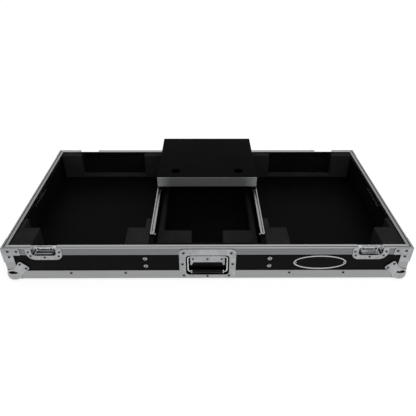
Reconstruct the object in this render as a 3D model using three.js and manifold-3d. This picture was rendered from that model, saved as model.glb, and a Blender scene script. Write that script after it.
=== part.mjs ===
// Low coffin case: a centre bay between two side bays, and a laptop platform that glides over it.
// Millimetres, +X to the right, +Y to the back, +Z up. The origin is on the ground, under the case's middle.
import * as THREE from "three";
import { mergeVertices } from "three/addons/utils/BufferGeometryUtils.js";
import Module from "manifold-3d";

const wasm = await Module();
wasm.setup();

// The case over its aluminium, and the boards that it is built from
const caseWidth = 1140;
const caseDepth = 598;
const caseHeight = 112;
const boardThickness = 10;
const seatGap = 0.3;
const cutOverrun = 5;
const weldTolerance = 0.001;

// Ball corners: a ball's centre is inset from each face, and the rest of its radius stands proud
const ballRadius = 21;
const ballInset = 13;
const ballWall = 1.7;
const leafThickness = 1.5;
const leafReach = 66;
const ballSegments = 16;
const ballRings = 12;

// Aluminium extrusions: edge angles along the floor, corner angles up the four edges, and the rim
const angleWall = 2;
const angleLeg = 30;
const cornerLeg = 28;
const mitreGap = 0.2;
const rimBand = 24;
const rimInnerLeg = 16;
const rimLegWall = 1.8;
const rimLipOverhang = 1.2;
const rimLipHeight = 3;
const tongueGrooveInset = 4.2;
const tongueGrooveWidth = 2.6;
const tongueGrooveDepth = 5;
const rimWeb = 2;
const rimScoreWidth = 1.4;
const rimScoreDepth = 0.6;

// Pressed brackets that wrap the corners of the rim
const bracketThickness = 1.5;
const bracketReach = 50;
const bracketLegWidth = 29;
const bracketRadius = 5;
const bracketLeafGap = 10;
const leafNeckShare = 0.8;

// Half dishes with keepers, two at the front and two at the back
const latchFromEnd = 116;
const latchPocketWidth = 68;
const latchPocketDrop = 25;
const latchFlange = 16;
const latchFlangeBelow = 15;
const latchWall = 1.5;
const latchOuterRadius = 24;
const latchInnerRadius = 20;
const keeperWidth = 46;
const keeperTopDrop = 4;
const keeperPlateHeight = 11;
const keeperThickness = 2;
const keeperHookRadius = 6;
const keeperHookReach = 5;
const keeperSlotDrop = 6;
const keeperSlotWidth = 24;
const keeperSlotHeight = 3.5;

// Recessed handles with a sprung bail: the bail and its grip are fitted into the pan
const dishWidth = 160;
const dishMargin = 3;
const dishWall = 1.5;
const dishRadius = 5;
const dishTopRadius = 14;
const panFlangeSide = 19;
const panFlangeEnd = 17.5;
const panRadius = 10;
const panDrop = 5;
const bailRod = 6;
const bailSideGap = 5;
const bailStub = 12;
const bailBend = 9;
const bailSteps = 36;
const bailSides = 5;
const gripSides = 12;
const bailAxisDrop = 7;
const collarRadius = 6;
const collarWidth = 4;
const gripDiameter = 14;
const gripWaist = 1.2;
const gripRounding = 3;
const gripProud = 3;
const gripBackGap = 1.5;
const gripFootGap = 1;
const hingePlateHeight = 23;
const hingePlateWall = 1.5;
const hingeFootWidth = 8;
const hingeFootHeight = 10;
const rodClearance = 0.6;
const panClearance = 1;

// Plain oval plate at the right of the front
const plateFromEnd = 252;
const plateWidth = 150;
const plateMargin = 4;
const plateThickness = 1.2;
const plateRimWidth = 4;
const plateRimThickness = 0.8;

// Inside: dividers, front board, blocks and pads. Drops are measured down from the top of the rim.
const dividerInner = 154;
const dividerThickness = 12;
const frontBoardThickness = 12;
const frontBoardDrop = 3;
const blockDrop = 3;
const frontBlockDepth = 86;
const rearBlockDepth = 26;
const innerBlockWidth = 68;
const outerBlockWidth = 62;
const armReach = 46;
const innerArmWidth = 18;
const outerArmWidth = 13.7;
const cableWayHeight = 12;
const bayPadThickness = 17;
const bayPadDrop = 57;
const bayBlockInner = 48;
const bayBlockBack = 158;
const blockGap = 0.3;

// Glide rails on the dividers, as wide as these and flush with the rim, with a T slot closed at both ends
const railHeight = 8;
const railFrontInset = 63;
const railBackInset = 18;
const railEndWall = 6;
const slotWall = 1.5;
const slotLip = 2.5;
const slotLipReach = 2;
const slotFloor = 1.8;

// Laptop platform with its runners, whose T feet ride in the slots
const platformOverhang = 3;
const platformDepth = 298;
const platformBackInset = 1;
const platformHeight = 50;
const platformBoard = 10;
const stripHeight = 33;
const stripThickness = 2;
const battenWidth = 14;
const runnerWidth = 14;
const runnerWall = 1.6;
const glideGap = 0.4;
const footClearance = 0.5;
const footFrontInset = 8;
const footEndGap = 1;
const cableHole = 30;
const cableHoleFromEdge = 58;
const cableHoleFromFront = 46;

// Levels and faces that follow from the sizes above
const halfWidth = caseWidth / 2;
const halfDepth = caseDepth / 2;
const angleBase = ballRadius - ballInset;
const floorBase = angleBase + angleWall;
const floorTop = floorBase + boardThickness;
const rimTop = angleBase + caseHeight;
const wallTop = rimTop - tongueGrooveDepth - rimWeb;
const wallInset = angleWall + boardThickness;
const rimWidth = wallInset + rimLegWall + rimLipOverhang;
const blockTop = rimTop - blockDrop;
const dividerTop = rimTop - railHeight;
const dividerOuter = dividerInner + dividerThickness;
const furnitureFront = rimWidth - halfDepth;
const furnitureBack = halfDepth - rimWidth;
const fromFront = (distance) => distance - halfDepth;

// Fitted sizes of the brackets, the latches, the plate and the rails
const bracketDrop = caseHeight - leafNeckShare * leafReach - bracketLeafGap;
const latchCentre = halfWidth - latchFromEnd;
const latchPocketDepth = wallInset;
const latchFlangeDrop = latchPocketDrop + latchFlangeBelow;
const plateHeight = caseHeight - rimBand - angleLeg - 2 * plateMargin;
const railCentre = (dividerInner + dividerOuter) / 2;
const railWidth = dividerThickness;
const railBack = halfDepth - railBackInset;
const slotWidth = railWidth - 2 * slotWall;
const slotMouth = slotWidth - 2 * slotLipReach;
const platformWidth = 2 * (railCentre + platformOverhang);
const platformBack = halfDepth - platformBackInset;

// Fitted sizes of the handles, from the case's height and the dish inwards
const dishHeight = caseHeight - 2 * dishMargin;
const dishCentre = rimTop - caseHeight / 2 - seatGap;
const panWidth = dishWidth - 2 * panFlangeSide;
const panHeight = dishHeight - 2 * panFlangeEnd;
const panCentre = dishCentre - panDrop;
const bailAxisZ = panHeight / 2 - panDrop - bailAxisDrop;
const bailAxisDepth = gripDiameter / 2 - gripProud;
const panDepth = bailAxisDepth + gripDiameter / 2 + gripBackGap + dishWall;
const bailSpan = panWidth - 2 * bailSideGap;
const bailDrop = panHeight - bailAxisDrop - gripDiameter / 2 - gripFootGap;
const gripWidth = bailSpan - 2 * (bailBend + collarWidth);
const hingePlateWidth = bailSpan - 2 * bailBend + bailRod / 2;

const finishes = {
  laminate: { color: 0x191919, roughness: 0.55, metalness: 0 },
  aluminium: { color: 0xa9adb3, roughness: 0.38, metalness: 1 },
  zincSteel: { color: 0x9b9ea3, roughness: 0.42, metalness: 1 },
  rubber: { color: 0x101010, roughness: 0.8, metalness: 0 },
  blackFoam: { color: 0x232323, roughness: 0.95, metalness: 0 },
  plate: { color: 0x2a2a2c, roughness: 0.35, metalness: 0.6 },
};

// One mesh with its name and its finish
function piece(name, geometry, finish) {
  const mesh = new THREE.Mesh(geometry, new THREE.MeshStandardMaterial(finishes[finish]));
  mesh.name = name;
  return mesh;
}

// Joins and cuts
function solidOf(geometry) {
  const bare = geometry.clone();
  bare.deleteAttribute("normal");
  bare.deleteAttribute("uv");
  const merged = mergeVertices(bare, weldTolerance);
  return new wasm.Manifold(
    new wasm.Mesh({
      numProp: 3,
      vertProperties: new Float32Array(merged.attributes.position.array),
      triVerts: new Uint32Array(merged.index.array),
    }),
  );
}

function geometryOf(solid) {
  const mesh = solid.getMesh();
  const geometry = new THREE.BufferGeometry();
  geometry.setAttribute("position", new THREE.BufferAttribute(mesh.vertProperties, 3));
  geometry.setIndex(new THREE.BufferAttribute(mesh.triVerts, 1));
  geometry.computeVertexNormals();
  return geometry;
}

function joined(...parts) {
  return geometryOf(parts.map(solidOf).reduce((whole, part) => whole.add(part)));
}

function cutAway(geometry, ...tools) {
  return geometryOf(tools.map(solidOf).reduce((whole, tool) => whole.subtract(tool), solidOf(geometry)));
}

// The same geometry with its axes renamed: each argument is the direction that an old axis takes
function turned(geometry, xAxis, yAxis, zAxis) {
  const basis = new THREE.Matrix4().makeBasis(
    new THREE.Vector3(...xAxis),
    new THREE.Vector3(...yAxis),
    new THREE.Vector3(...zAxis),
  );
  return geometry.clone().applyMatrix4(basis);
}

// A mirror copy, with its triangles turned round so that its faces still point out
function mirrored(geometry, xSign, ySign) {
  const copy = geometry.clone().scale(xSign, ySign, 1);
  if (xSign * ySign > 0) return copy;
  const count = copy.getAttribute("position").count;
  const order = copy.index ? Array.from(copy.index.array) : Array.from({ length: count }, (_, i) => i);
  for (let i = 0; i < order.length; i += 3) [order[i + 1], order[i + 2]] = [order[i + 2], order[i + 1]];
  copy.setIndex(order);
  copy.computeVertexNormals();
  return copy;
}

function block(x0, x1, y0, y1, z0, z1) {
  const box = new THREE.BoxGeometry(x1 - x0, y1 - y0, z1 - z0);
  return box.translate((x0 + x1) / 2, (y0 + y1) / 2, (z0 + z1) / 2);
}

function polygon(points) {
  return new THREE.Shape(points.map(([x, y]) => new THREE.Vector2(x, y)));
}

function roundedRectangle(width, height, radius, shape = new THREE.Shape()) {
  const x = width / 2;
  const y = height / 2;
  shape.moveTo(-x + radius, -y);
  shape.lineTo(x - radius, -y);
  shape.absarc(x - radius, -y + radius, radius, -Math.PI / 2, 0);
  shape.lineTo(x, y - radius);
  shape.absarc(x - radius, y - radius, radius, 0, Math.PI / 2);
  shape.lineTo(-x + radius, y);
  shape.absarc(-x + radius, y - radius, radius, Math.PI / 2, Math.PI);
  shape.lineTo(-x, -y + radius);
  shape.absarc(-x + radius, -y + radius, radius, Math.PI, 1.5 * Math.PI);
  return shape;
}

// Extrusions of a flat outline: upwards, along X from a (y, z) outline, and along Y from an (x, z) outline
function extrudedUp(shape, z0, z1, curveSegments = 6) {
  const settings = { depth: z1 - z0, bevelEnabled: false, curveSegments };
  return new THREE.ExtrudeGeometry(shape, settings).translate(0, 0, z0);
}

function extrudedAlongX(shape, x0, x1, curveSegments = 6) {
  const settings = { depth: x1 - x0, bevelEnabled: false, curveSegments };
  const raw = new THREE.ExtrudeGeometry(shape, settings).translate(0, 0, x0);
  return turned(raw, [0, 1, 0], [0, 0, 1], [1, 0, 0]);
}

function extrudedAlongY(shape, y0, y1, curveSegments = 6) {
  const settings = { depth: y1 - y0, bevelEnabled: false, curveSegments };
  const raw = new THREE.ExtrudeGeometry(shape, settings).translate(0, 0, -y1);
  return turned(raw, [1, 0, 0], [0, 0, 1], [0, -1, 0]);
}

// The four sides of the case. In a side's own frame X runs along it, Y goes in from its face and Z is up.
const sides = {
  front: { turn: 0, reach: halfDepth, half: halfWidth },
  right: { turn: Math.PI / 2, reach: halfWidth, half: halfDepth },
  back: { turn: Math.PI, reach: halfDepth, half: halfWidth },
  left: { turn: -Math.PI / 2, reach: halfWidth, half: halfDepth },
};

function onSide(side, geometry) {
  const cos = Math.round(Math.cos(side.turn));
  const sin = Math.round(Math.sin(side.turn));
  const placed = geometry.clone().translate(0, -side.reach, 0);
  return turned(placed, [cos, sin, 0], [-sin, cos, 0], [0, 0, 1]);
}

// An extrusion along a side, from start to end. A mitred end follows the 45 degree line through the corner.
function railOnSide(profile, start, end, mitreStart, mitreEnd, base) {
  const raw = new THREE.ExtrudeGeometry(profile, { depth: 1, bevelEnabled: false });
  const position = raw.getAttribute("position");
  for (let i = 0; i < position.count; i += 1) {
    const inwards = position.getX(i);
    const up = position.getY(i);
    const mitre = inwards + mitreGap;
    const first = mitreStart ? start + mitre : start;
    const last = mitreEnd ? end - mitre : end;
    position.setXYZ(i, position.getZ(i) > 0 ? last : first, inwards, base + up);
  }
  raw.computeVertexNormals();
  return raw;
}

// Rim: a channel over the board's edge, with a groove on top for the lid's tongue and a scored face
function rimProfile() {
  const points = [[0, -rimBand]];
  const scoreShares = [0.75, 0.5, 0.25];
  for (const share of scoreShares) {
    const level = -rimBand * share;
    points.push([0, level - rimScoreWidth / 2], [rimScoreDepth, level - rimScoreWidth / 2]);
    points.push([rimScoreDepth, level + rimScoreWidth / 2], [0, level + rimScoreWidth / 2]);
  }
  const grooveStart = tongueGrooveInset;
  const grooveEnd = grooveStart + tongueGrooveWidth;
  const legFace = wallInset + rimLegWall;
  const web = -(tongueGrooveDepth + rimWeb);
  points.push([0, 0], [grooveStart, 0], [grooveStart, -tongueGrooveDepth]);
  points.push([grooveEnd, -tongueGrooveDepth], [grooveEnd, 0], [rimWidth, 0], [rimWidth, -rimLipHeight]);
  points.push([legFace, -rimLipHeight - rimLipOverhang], [legFace, -rimInnerLeg], [wallInset, -rimInnerLeg]);
  points.push([wallInset, web], [angleWall, web], [angleWall, -rimBand]);
  return polygon(points);
}

function makeRim(group) {
  const profile = rimProfile();
  const gapStart = latchCentre - latchPocketWidth / 2 - latchWall - seatGap;
  const gapEnd = latchCentre + latchPocketWidth / 2 + latchWall + seatGap;
  for (const name of ["front", "back"]) {
    const side = sides[name];
    const [leftEnd, rightEnd] = name === "front" ? ["left", "right"] : ["right", "left"];
    const stretches = [
      [leftEnd, -side.half, -gapEnd, true, false],
      ["middle", -gapStart, gapStart, false, false],
      [rightEnd, gapEnd, side.half, false, true],
    ];
    for (const [part, start, end, mitreStart, mitreEnd] of stretches) {
      const rail = railOnSide(profile, start, end, mitreStart, mitreEnd, rimTop);
      group.add(piece(`rim_${name}_${part}`, onSide(side, rail), "aluminium"));
    }
  }
  for (const name of ["left", "right"]) {
    const side = sides[name];
    const rail = railOnSide(profile, -side.half, side.half, true, true, rimTop);
    group.add(piece(`rim_${name}`, onSide(side, rail), "aluminium"));
  }
}

// The pan of a handle as a solid, grown by a clearance, to cut windows for it
function panCut(clearance, centreZ) {
  const outline = roundedRectangle(
    panWidth + 2 * (dishWall + clearance),
    panHeight + 2 * (dishWall + clearance),
    panRadius + dishWall,
  );
  const farSide = rimWidth + frontBoardThickness + cutOverrun;
  return extrudedAlongY(outline, -cutOverrun, farSide).translate(0, 0, centreZ);
}

function makeFloorAngles(group) {
  const profile = polygon([
    [0, 0],
    [angleLeg, 0],
    [angleLeg, angleWall],
    [angleWall, angleWall],
    [angleWall, angleLeg],
    [0, angleLeg],
  ]);
  for (const [name, side] of Object.entries(sides)) {
    const rail = railOnSide(profile, -side.half, side.half, true, true, angleBase);
    const hasHandle = name !== "back";
    const shaped = hasHandle ? cutAway(rail, panCut(panClearance, panCentre)) : rail;
    group.add(piece(`floor_angle_${name}`, onSide(side, shaped), "aluminium"));
  }
}

// Corner angles fill the upright edges between the floor angles and the rim
function makeCornerAngles(group) {
  const bottom = angleBase + angleLeg + mitreGap;
  const top = rimTop - rimBand - mitreGap;
  const profile = polygon([
    [0, 0],
    [cornerLeg, 0],
    [cornerLeg, angleWall],
    [angleWall, angleWall],
    [angleWall, cornerLeg],
    [0, cornerLeg],
  ]);
  const upright = extrudedUp(profile, bottom, top).translate(-halfWidth, -halfDepth, 0);
  forEachCorner((name, xSign, ySign) => {
    group.add(piece(`corner_angle_${name}`, mirrored(upright, xSign, ySign), "aluminium"));
  });
}

function forEachCorner(make) {
  make("front_left", 1, 1);
  make("front_right", -1, 1);
  make("back_left", 1, -1);
  make("back_right", -1, -1);
}

// One leaf of a ball corner in its face: a shield on the diagonal, with hollow flanks and two rounded tips
function leafOutline() {
  const [rootShare, flankShare] = [0.53, 0.33];
  const shoulderShares = [0.52, 0.89];
  const tipShares = [0.61, 1.01];
  const bluntShares = [0.7, 0.92];
  const [root, flank] = [rootShare * leafReach, flankShare * leafReach];
  const [shoulderX, shoulderY] = shoulderShares.map((share) => share * leafReach);
  const [tipX, tipY] = tipShares.map((share) => share * leafReach);
  const [bluntX, bluntY] = bluntShares.map((share) => share * leafReach);
  const shape = new THREE.Shape();
  shape.moveTo(-leafThickness, -leafThickness);
  shape.lineTo(root, -leafThickness);
  shape.lineTo(root, 0);
  shape.quadraticCurveTo(root, flank, shoulderY, shoulderX);
  shape.quadraticCurveTo(tipY, tipX, bluntY, bluntX);
  shape.lineTo(bluntX, bluntY);
  shape.quadraticCurveTo(tipX, tipY, shoulderX, shoulderY);
  shape.quadraticCurveTo(flank, root, 0, root);
  shape.lineTo(-leafThickness, root);
  return shape;
}

// A ball corner at the origin, for a case that fills the octant of positive X, Y and Z
function ballCornerAtOrigin() {
  const floorLeaf = extrudedUp(leafOutline(), -leafThickness, 0, 4);
  const sideLeaf = turned(floorLeaf, [0, 1, 0], [0, 0, 1], [1, 0, 0]);
  const frontLeaf = turned(floorLeaf, [0, 0, 1], [1, 0, 0], [0, 1, 0]);
  const ball = new THREE.SphereGeometry(ballRadius, ballSegments, ballRings);
  const hollow = new THREE.SphereGeometry(ballRadius - ballWall, ballSegments, ballRings);
  ball.translate(ballInset, ballInset, ballInset);
  hollow.translate(ballInset, ballInset, ballInset);
  const far = leafReach + cutOverrun;
  const caseCorner = block(-seatGap, far, -seatGap, far, -seatGap, far);
  return cutAway(joined(floorLeaf, sideLeaf, frontLeaf, ball), hollow, caseCorner);
}

function makeBallCorners(group) {
  const corner = ballCornerAtOrigin().translate(-halfWidth, -halfDepth, angleBase);
  forEachCorner((name, xSign, ySign) => {
    group.add(piece(`ball_corner_${name}`, mirrored(corner, xSign, ySign), "zincSteel"));
  });
}

// A rim bracket: an arm along the rim and a leg down the corner, wrapped round both faces
function makeRimBrackets(group) {
  const wrap = -bracketThickness - seatGap;
  const footRadius = Math.min(bracketRadius, bracketDrop - rimBand);
  const armFoot = bracketRadius - rimBand;
  const outline = new THREE.Shape();
  outline.moveTo(wrap, 0);
  outline.lineTo(bracketReach - bracketRadius, 0);
  outline.absarc(bracketReach - bracketRadius, -bracketRadius, bracketRadius, Math.PI / 2, 0, true);
  outline.lineTo(bracketReach, armFoot);
  outline.absarc(bracketReach - bracketRadius, armFoot, bracketRadius, 0, -Math.PI / 2, true);
  outline.lineTo(bracketLegWidth, -rimBand);
  outline.lineTo(bracketLegWidth, footRadius - bracketDrop);
  outline.absarc(bracketLegWidth - footRadius, footRadius - bracketDrop, footRadius, 0, -Math.PI / 2, true);
  outline.lineTo(wrap, -bracketDrop);
  const top = rimTop - seatGap;
  const frontFace = extrudedAlongY(outline, wrap, -seatGap, 4).translate(0, 0, top);
  const sideFace = mirrored(extrudedAlongX(outline, wrap, -seatGap, 4).translate(0, 0, top), 1, 1);
  const bracket = joined(frontFace, sideFace).translate(-halfWidth, -halfDepth, 0);
  forEachCorner((name, xSign, ySign) => {
    group.add(piece(`rim_bracket_${name}`, mirrored(bracket, xSign, ySign), "zincSteel"));
  });
}

// The outline of a latch pocket below the rim, grown by a margin, with its mouth open at the top
function pocketOutline(margin, top) {
  const x = latchPocketWidth / 2 + margin;
  const bottom = -latchPocketDrop - margin;
  const radius = latchInnerRadius / 2 + margin;
  const shape = new THREE.Shape();
  shape.moveTo(-x, top);
  shape.lineTo(-x, bottom + radius);
  shape.absarc(-x + radius, bottom + radius, radius, Math.PI, 1.5 * Math.PI);
  shape.lineTo(x - radius, bottom);
  shape.absarc(x - radius, bottom + radius, radius, -Math.PI / 2, 0);
  shape.lineTo(x, top);
  return shape;
}

// A half dish with its keeper, centred on X and hung from Z = 0. Its larger corner is on the -X side.
function latchDish() {
  const x = latchPocketWidth / 2 + latchFlange;
  const flange = new THREE.Shape();
  flange.moveTo(-x, -seatGap);
  const outerArc = latchOuterRadius - latchFlangeDrop;
  flange.lineTo(-x, outerArc);
  flange.absarc(-x + latchOuterRadius, outerArc, latchOuterRadius, Math.PI, 1.5 * Math.PI);
  flange.lineTo(x - latchInnerRadius, -latchFlangeDrop);
  flange.absarc(x - latchInnerRadius, latchInnerRadius - latchFlangeDrop, latchInnerRadius, -Math.PI / 2, 0);
  flange.lineTo(x, -seatGap);
  const outside = -latchWall - seatGap;
  const face = extrudedAlongY(flange, outside, -seatGap, 5);
  const shell = extrudedAlongY(pocketOutline(latchWall, -seatGap), outside, latchPocketDepth + latchWall, 5);
  const hollow = extrudedAlongY(pocketOutline(0, cutOverrun), -cutOverrun, latchPocketDepth, 5);
  return joined(cutAway(joined(face, shell), hollow), keeper());
}

// The keeper: a slotted plate on the back of the pocket, curled out at its foot into a hook
function keeper() {
  const back = latchPocketDepth;
  const front = back - keeperThickness;
  const top = -keeperTopDrop;
  const foot = top - keeperPlateHeight;
  const inner = keeperHookRadius - keeperThickness;
  const shape = new THREE.Shape();
  shape.moveTo(back, top);
  shape.lineTo(front, top);
  shape.lineTo(front, foot);
  shape.absarc(front - inner, foot, inner, 0, -Math.PI / 2, true);
  shape.lineTo(front - inner - keeperHookReach, foot - inner);
  shape.lineTo(front - inner - keeperHookReach, foot - keeperHookRadius);
  shape.absarc(front - inner, foot, keeperHookRadius, -Math.PI / 2, 0);
  const plate = extrudedAlongX(shape, -keeperWidth / 2, keeperWidth / 2, 4);
  const slotHalf = keeperSlotWidth / 2;
  const slotTop = top - keeperSlotDrop;
  const slotFoot = slotTop - keeperSlotHeight;
  return cutAway(plate, block(-slotHalf, slotHalf, front - keeperThickness, back, slotFoot, slotTop));
}

function makeLatches(group) {
  const dish = latchDish().translate(-latchCentre, -halfDepth, rimTop);
  forEachCorner((name, xSign, ySign) => {
    group.add(piece(`latch_dish_${name}`, mirrored(dish, xSign, ySign), "zincSteel"));
  });
}

// Boards: the front and back boards are notched for the latches, and three sides have a window for a handle
function wallOutline(half, latchNotches) {
  const notch = latchPocketWidth / 2 + latchWall + seatGap;
  const depth = rimTop - latchPocketDrop - latchWall - seatGap;
  const outline = [[-half, floorTop], [half, floorTop], [half, wallTop]];
  if (latchNotches) {
    for (const centre of [latchCentre, -latchCentre]) {
      outline.push([centre + notch, wallTop], [centre + notch, depth]);
      outline.push([centre - notch, depth], [centre - notch, wallTop]);
    }
  }
  outline.push([-half, wallTop]);
  return polygon(outline);
}

function makeBoards(group) {
  const reachX = halfWidth - angleWall;
  const reachY = halfDepth - angleWall;
  group.add(piece("floor_board", block(-reachX, reachX, -reachY, reachY, floorBase, floorTop), "laminate"));
  for (const [name, side] of Object.entries(sides)) {
    const acrossEnds = name === "front" || name === "back";
    const half = acrossEnds ? side.half - angleWall : side.half - wallInset;
    const wall = extrudedAlongY(wallOutline(half, acrossEnds), angleWall, wallInset);
    const hasHandle = name !== "back";
    const shaped = hasHandle ? cutAway(wall, panCut(panClearance, panCentre)) : wall;
    group.add(piece(`${name}_board`, onSide(side, shaped), "laminate"));
  }
}

// A handle dish: a flanged pan with a hinge plate that traps the bail's stubs against the back of the pan
function handleDish() {
  const face = extrudedAlongY(dishOutline(), -dishWall - seatGap, -seatGap, 5);
  const outer = roundedRectangle(panWidth + 2 * dishWall, panHeight + 2 * dishWall, panRadius + dishWall);
  const inner = roundedRectangle(panWidth, panHeight, panRadius);
  const shell = extrudedAlongY(outer, -dishWall - seatGap, panDepth, 5).translate(0, 0, -panDrop);
  const hollow = extrudedAlongY(inner, -cutOverrun, panDepth - dishWall, 5).translate(0, 0, -panDrop);
  return joined(cutAway(joined(face, shell), hollow), hingeFace(), hingeLip());
}

// The flange's outline: its upper corners are rounder than its lower ones
function dishOutline() {
  const x = dishWidth / 2;
  const z = dishHeight / 2;
  const [low, high] = [dishRadius, dishTopRadius];
  const shape = new THREE.Shape();
  shape.moveTo(-x + low, -z);
  shape.lineTo(x - low, -z);
  shape.absarc(x - low, -z + low, low, -Math.PI / 2, 0);
  shape.lineTo(x, z - high);
  shape.absarc(x - high, z - high, high, 0, Math.PI / 2);
  shape.lineTo(-x + high, z);
  shape.absarc(-x + high, z - high, high, Math.PI / 2, Math.PI);
  shape.lineTo(-x, -z + low);
  shape.absarc(-x + low, -z + low, low, Math.PI, 1.5 * Math.PI);
  return shape;
}

// The face of the hinge plate, in front of the bail's axis, with a foot at each end
function hingeFace() {
  const x = hingePlateWidth / 2;
  const top = bailAxisZ + bailRod / 2 + rodClearance + hingePlateWall;
  const low = top - hingePlateHeight;
  const outline = polygon([
    [-x, top],
    [-x, low - hingeFootHeight],
    [-x + hingeFootWidth / 2, low - hingeFootHeight],
    [-x + hingeFootWidth, low],
    [x - hingeFootWidth, low],
    [x - hingeFootWidth / 2, low - hingeFootHeight],
    [x, low - hingeFootHeight],
    [x, top],
  ]);
  const face = bailAxisDepth - bailRod / 2 - rodClearance - hingePlateWall;
  return extrudedAlongY(outline, face, face + hingePlateWall);
}

// The upper lip of the hinge plate, over the bail's stubs and back to the pan
function hingeLip() {
  const face = bailAxisDepth - bailRod / 2 - rodClearance - hingePlateWall;
  const base = bailAxisZ + bailRod / 2 + rodClearance;
  const half = hingePlateWidth / 2;
  return block(-half, half, face, panDepth - dishWall / 2, base, base + hingePlateWall);
}

// The bail's centre line: a stub under the hinge plate, an arm, the grip bar, the other arm and stub
function bailPath() {
  const x = bailSpan / 2;
  const { LineCurve3, QuadraticBezierCurve3, Vector3 } = THREE;
  const at = (px, pz) => new Vector3(px, 0, pz);
  const corner = (x0, z0, x1, z1, x2, z2) => new QuadraticBezierCurve3(at(x0, z0), at(x1, z1), at(x2, z2));
  const straight = (x0, z0, x1, z1) => new LineCurve3(at(x0, z0), at(x1, z1));
  const path = new THREE.CurvePath();
  path.add(straight(-x + bailBend + bailStub, 0, -x + bailBend, 0));
  path.add(corner(-x + bailBend, 0, -x, 0, -x, -bailBend));
  path.add(straight(-x, -bailBend, -x, -bailDrop + bailBend));
  path.add(corner(-x, -bailDrop + bailBend, -x, -bailDrop, -x + bailBend, -bailDrop));
  path.add(straight(-x + bailBend, -bailDrop, x - bailBend, -bailDrop));
  path.add(corner(x - bailBend, -bailDrop, x, -bailDrop, x, -bailDrop + bailBend));
  path.add(straight(x, -bailDrop + bailBend, x, -bailBend));
  path.add(corner(x, -bailBend, x, 0, x - bailBend, 0));
  path.add(straight(x - bailBend, 0, x - bailBend - bailStub, 0));
  return path;
}

function roundRod(path, radius, steps, sides) {
  const section = new THREE.Shape();
  section.absarc(0, 0, radius, 0, 2 * Math.PI);
  const settings = { steps, bevelEnabled: false, extrudePath: path, curveSegments: sides };
  return new THREE.ExtrudeGeometry(section, settings);
}

// The grip: a round rubber sleeve with a slight waist, turned round the bail's lower bar
function gripSleeve() {
  const radius = gripDiameter / 2;
  const half = gripWidth / 2;
  const shoulder = half - gripRounding;
  const bore = bailRod / 2 + seatGap;
  const profile = [
    [bore, -half],
    [radius - gripRounding / 2, -half],
    [radius, -shoulder],
    [radius - gripWaist, 0],
    [radius, shoulder],
    [radius - gripRounding / 2, half],
    [bore, half],
    [bore, -half],
  ];
  const sleeve = new THREE.LatheGeometry(profile.map(([r, y]) => new THREE.Vector2(r, y)), gripSides);
  return turned(sleeve, [0, 0, 1], [1, 0, 0], [0, 1, 0]);
}

// The bail: a bent rod with a collar at each end of the grip
function bailWithCollars() {
  const rod = roundRod(bailPath(), bailRod / 2, bailSteps, bailSides);
  const collar = new THREE.CylinderGeometry(collarRadius, collarRadius, collarWidth - seatGap, gripSides);
  const lying = turned(collar, [0, 0, 1], [1, 0, 0], [0, 1, 0]);
  const offset = (gripWidth + collarWidth + seatGap) / 2;
  return joined(rod, ...[-offset, offset].map((x) => lying.clone().translate(x, 0, -bailDrop)));
}

function makeHandle(group, name) {
  const side = sides[name];
  const handle = new THREE.Group();
  handle.rotation.z = side.turn;
  handle.position.set(Math.sin(side.turn) * side.reach, -Math.cos(side.turn) * side.reach, dishCentre);
  handle.add(piece(`handle_dish_${name}`, handleDish(), "zincSteel"));
  const bail = piece(`handle_bail_${name}`, bailWithCollars(), "zincSteel");
  bail.position.set(0, bailAxisDepth, bailAxisZ);
  const grip = piece(`handle_grip_${name}`, gripSleeve().translate(0, 0, -bailDrop), "rubber");
  grip.position.copy(bail.position);
  handle.add(bail, grip);
  group.add(handle);
}

// The oval plate: a raised rim round a bare field
function makeOvalPlate(group) {
  const oval = (inset) => {
    const shape = new THREE.Shape();
    shape.absellipse(0, 0, plateWidth / 2 - inset, plateHeight / 2 - inset, 0, 2 * Math.PI);
    return shape;
  };
  const thickness = plateThickness + plateRimThickness;
  const blank = extrudedAlongY(oval(0), angleWall - thickness, angleWall, 18);
  const field = extrudedAlongY(oval(plateRimWidth), -cutOverrun, angleWall - plateThickness, 18);
  const centreZ = (rimTop - rimBand + angleBase + angleLeg) / 2;
  const plate = cutAway(blank, field).translate(halfWidth - plateFromEnd, 0, centreZ);
  group.add(piece("oval_plate", onSide(sides.front, plate), "plate"));
}

// Dividers between the bays, and the board behind the front handle
function makeDividers(group) {
  for (const [name, sign] of [["left", -1], ["right", 1]]) {
    const x = [sign * dividerInner, sign * dividerOuter].sort((a, b) => a - b);
    const wall = block(x[0], x[1], furnitureFront, furnitureBack, floorTop, dividerTop);
    group.add(piece(`divider_${name}`, wall, "laminate"));
  }
  const reach = dividerInner - blockGap;
  const top = rimTop - frontBoardDrop;
  const board = block(-reach, reach, furnitureFront, furnitureFront + frontBoardThickness, floorTop, top);
  const pan = panCut(panClearance, panCentre).translate(0, -halfDepth, 0);
  group.add(piece("front_inner_board", cutAway(board, pan), "laminate"));
}

// Foam blocks in the front corners of a side bay: each has an arm that runs back along the bay's side
function cornerBlock(wallX, width, armX, inwards) {
  const front = furnitureFront;
  const edge = front + frontBlockDepth;
  const back = edge + armReach;
  const points = [
    [wallX, front],
    [wallX + inwards * width, front],
    [wallX + inwards * width, edge],
    [armX, edge],
    [armX, back],
    [wallX, back],
  ];
  return extrudedUp(polygon(points), floorTop, blockTop);
}

// The rear block of a side bay: two posts in its corners, with a low cable way between them
function rearBlock(x0, x1) {
  const postShare = 0.19;
  const post = (x1 - x0) * postShare;
  const low = floorTop + cableWayHeight;
  const points = [
    [x0, floorTop],
    [x1, floorTop],
    [x1, blockTop],
    [x1 - post, blockTop],
    [x1 - post, low],
    [x0 + post, low],
    [x0 + post, blockTop],
    [x0, blockTop],
  ];
  return extrudedAlongY(polygon(points), furnitureBack - rearBlockDepth, furnitureBack);
}

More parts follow.
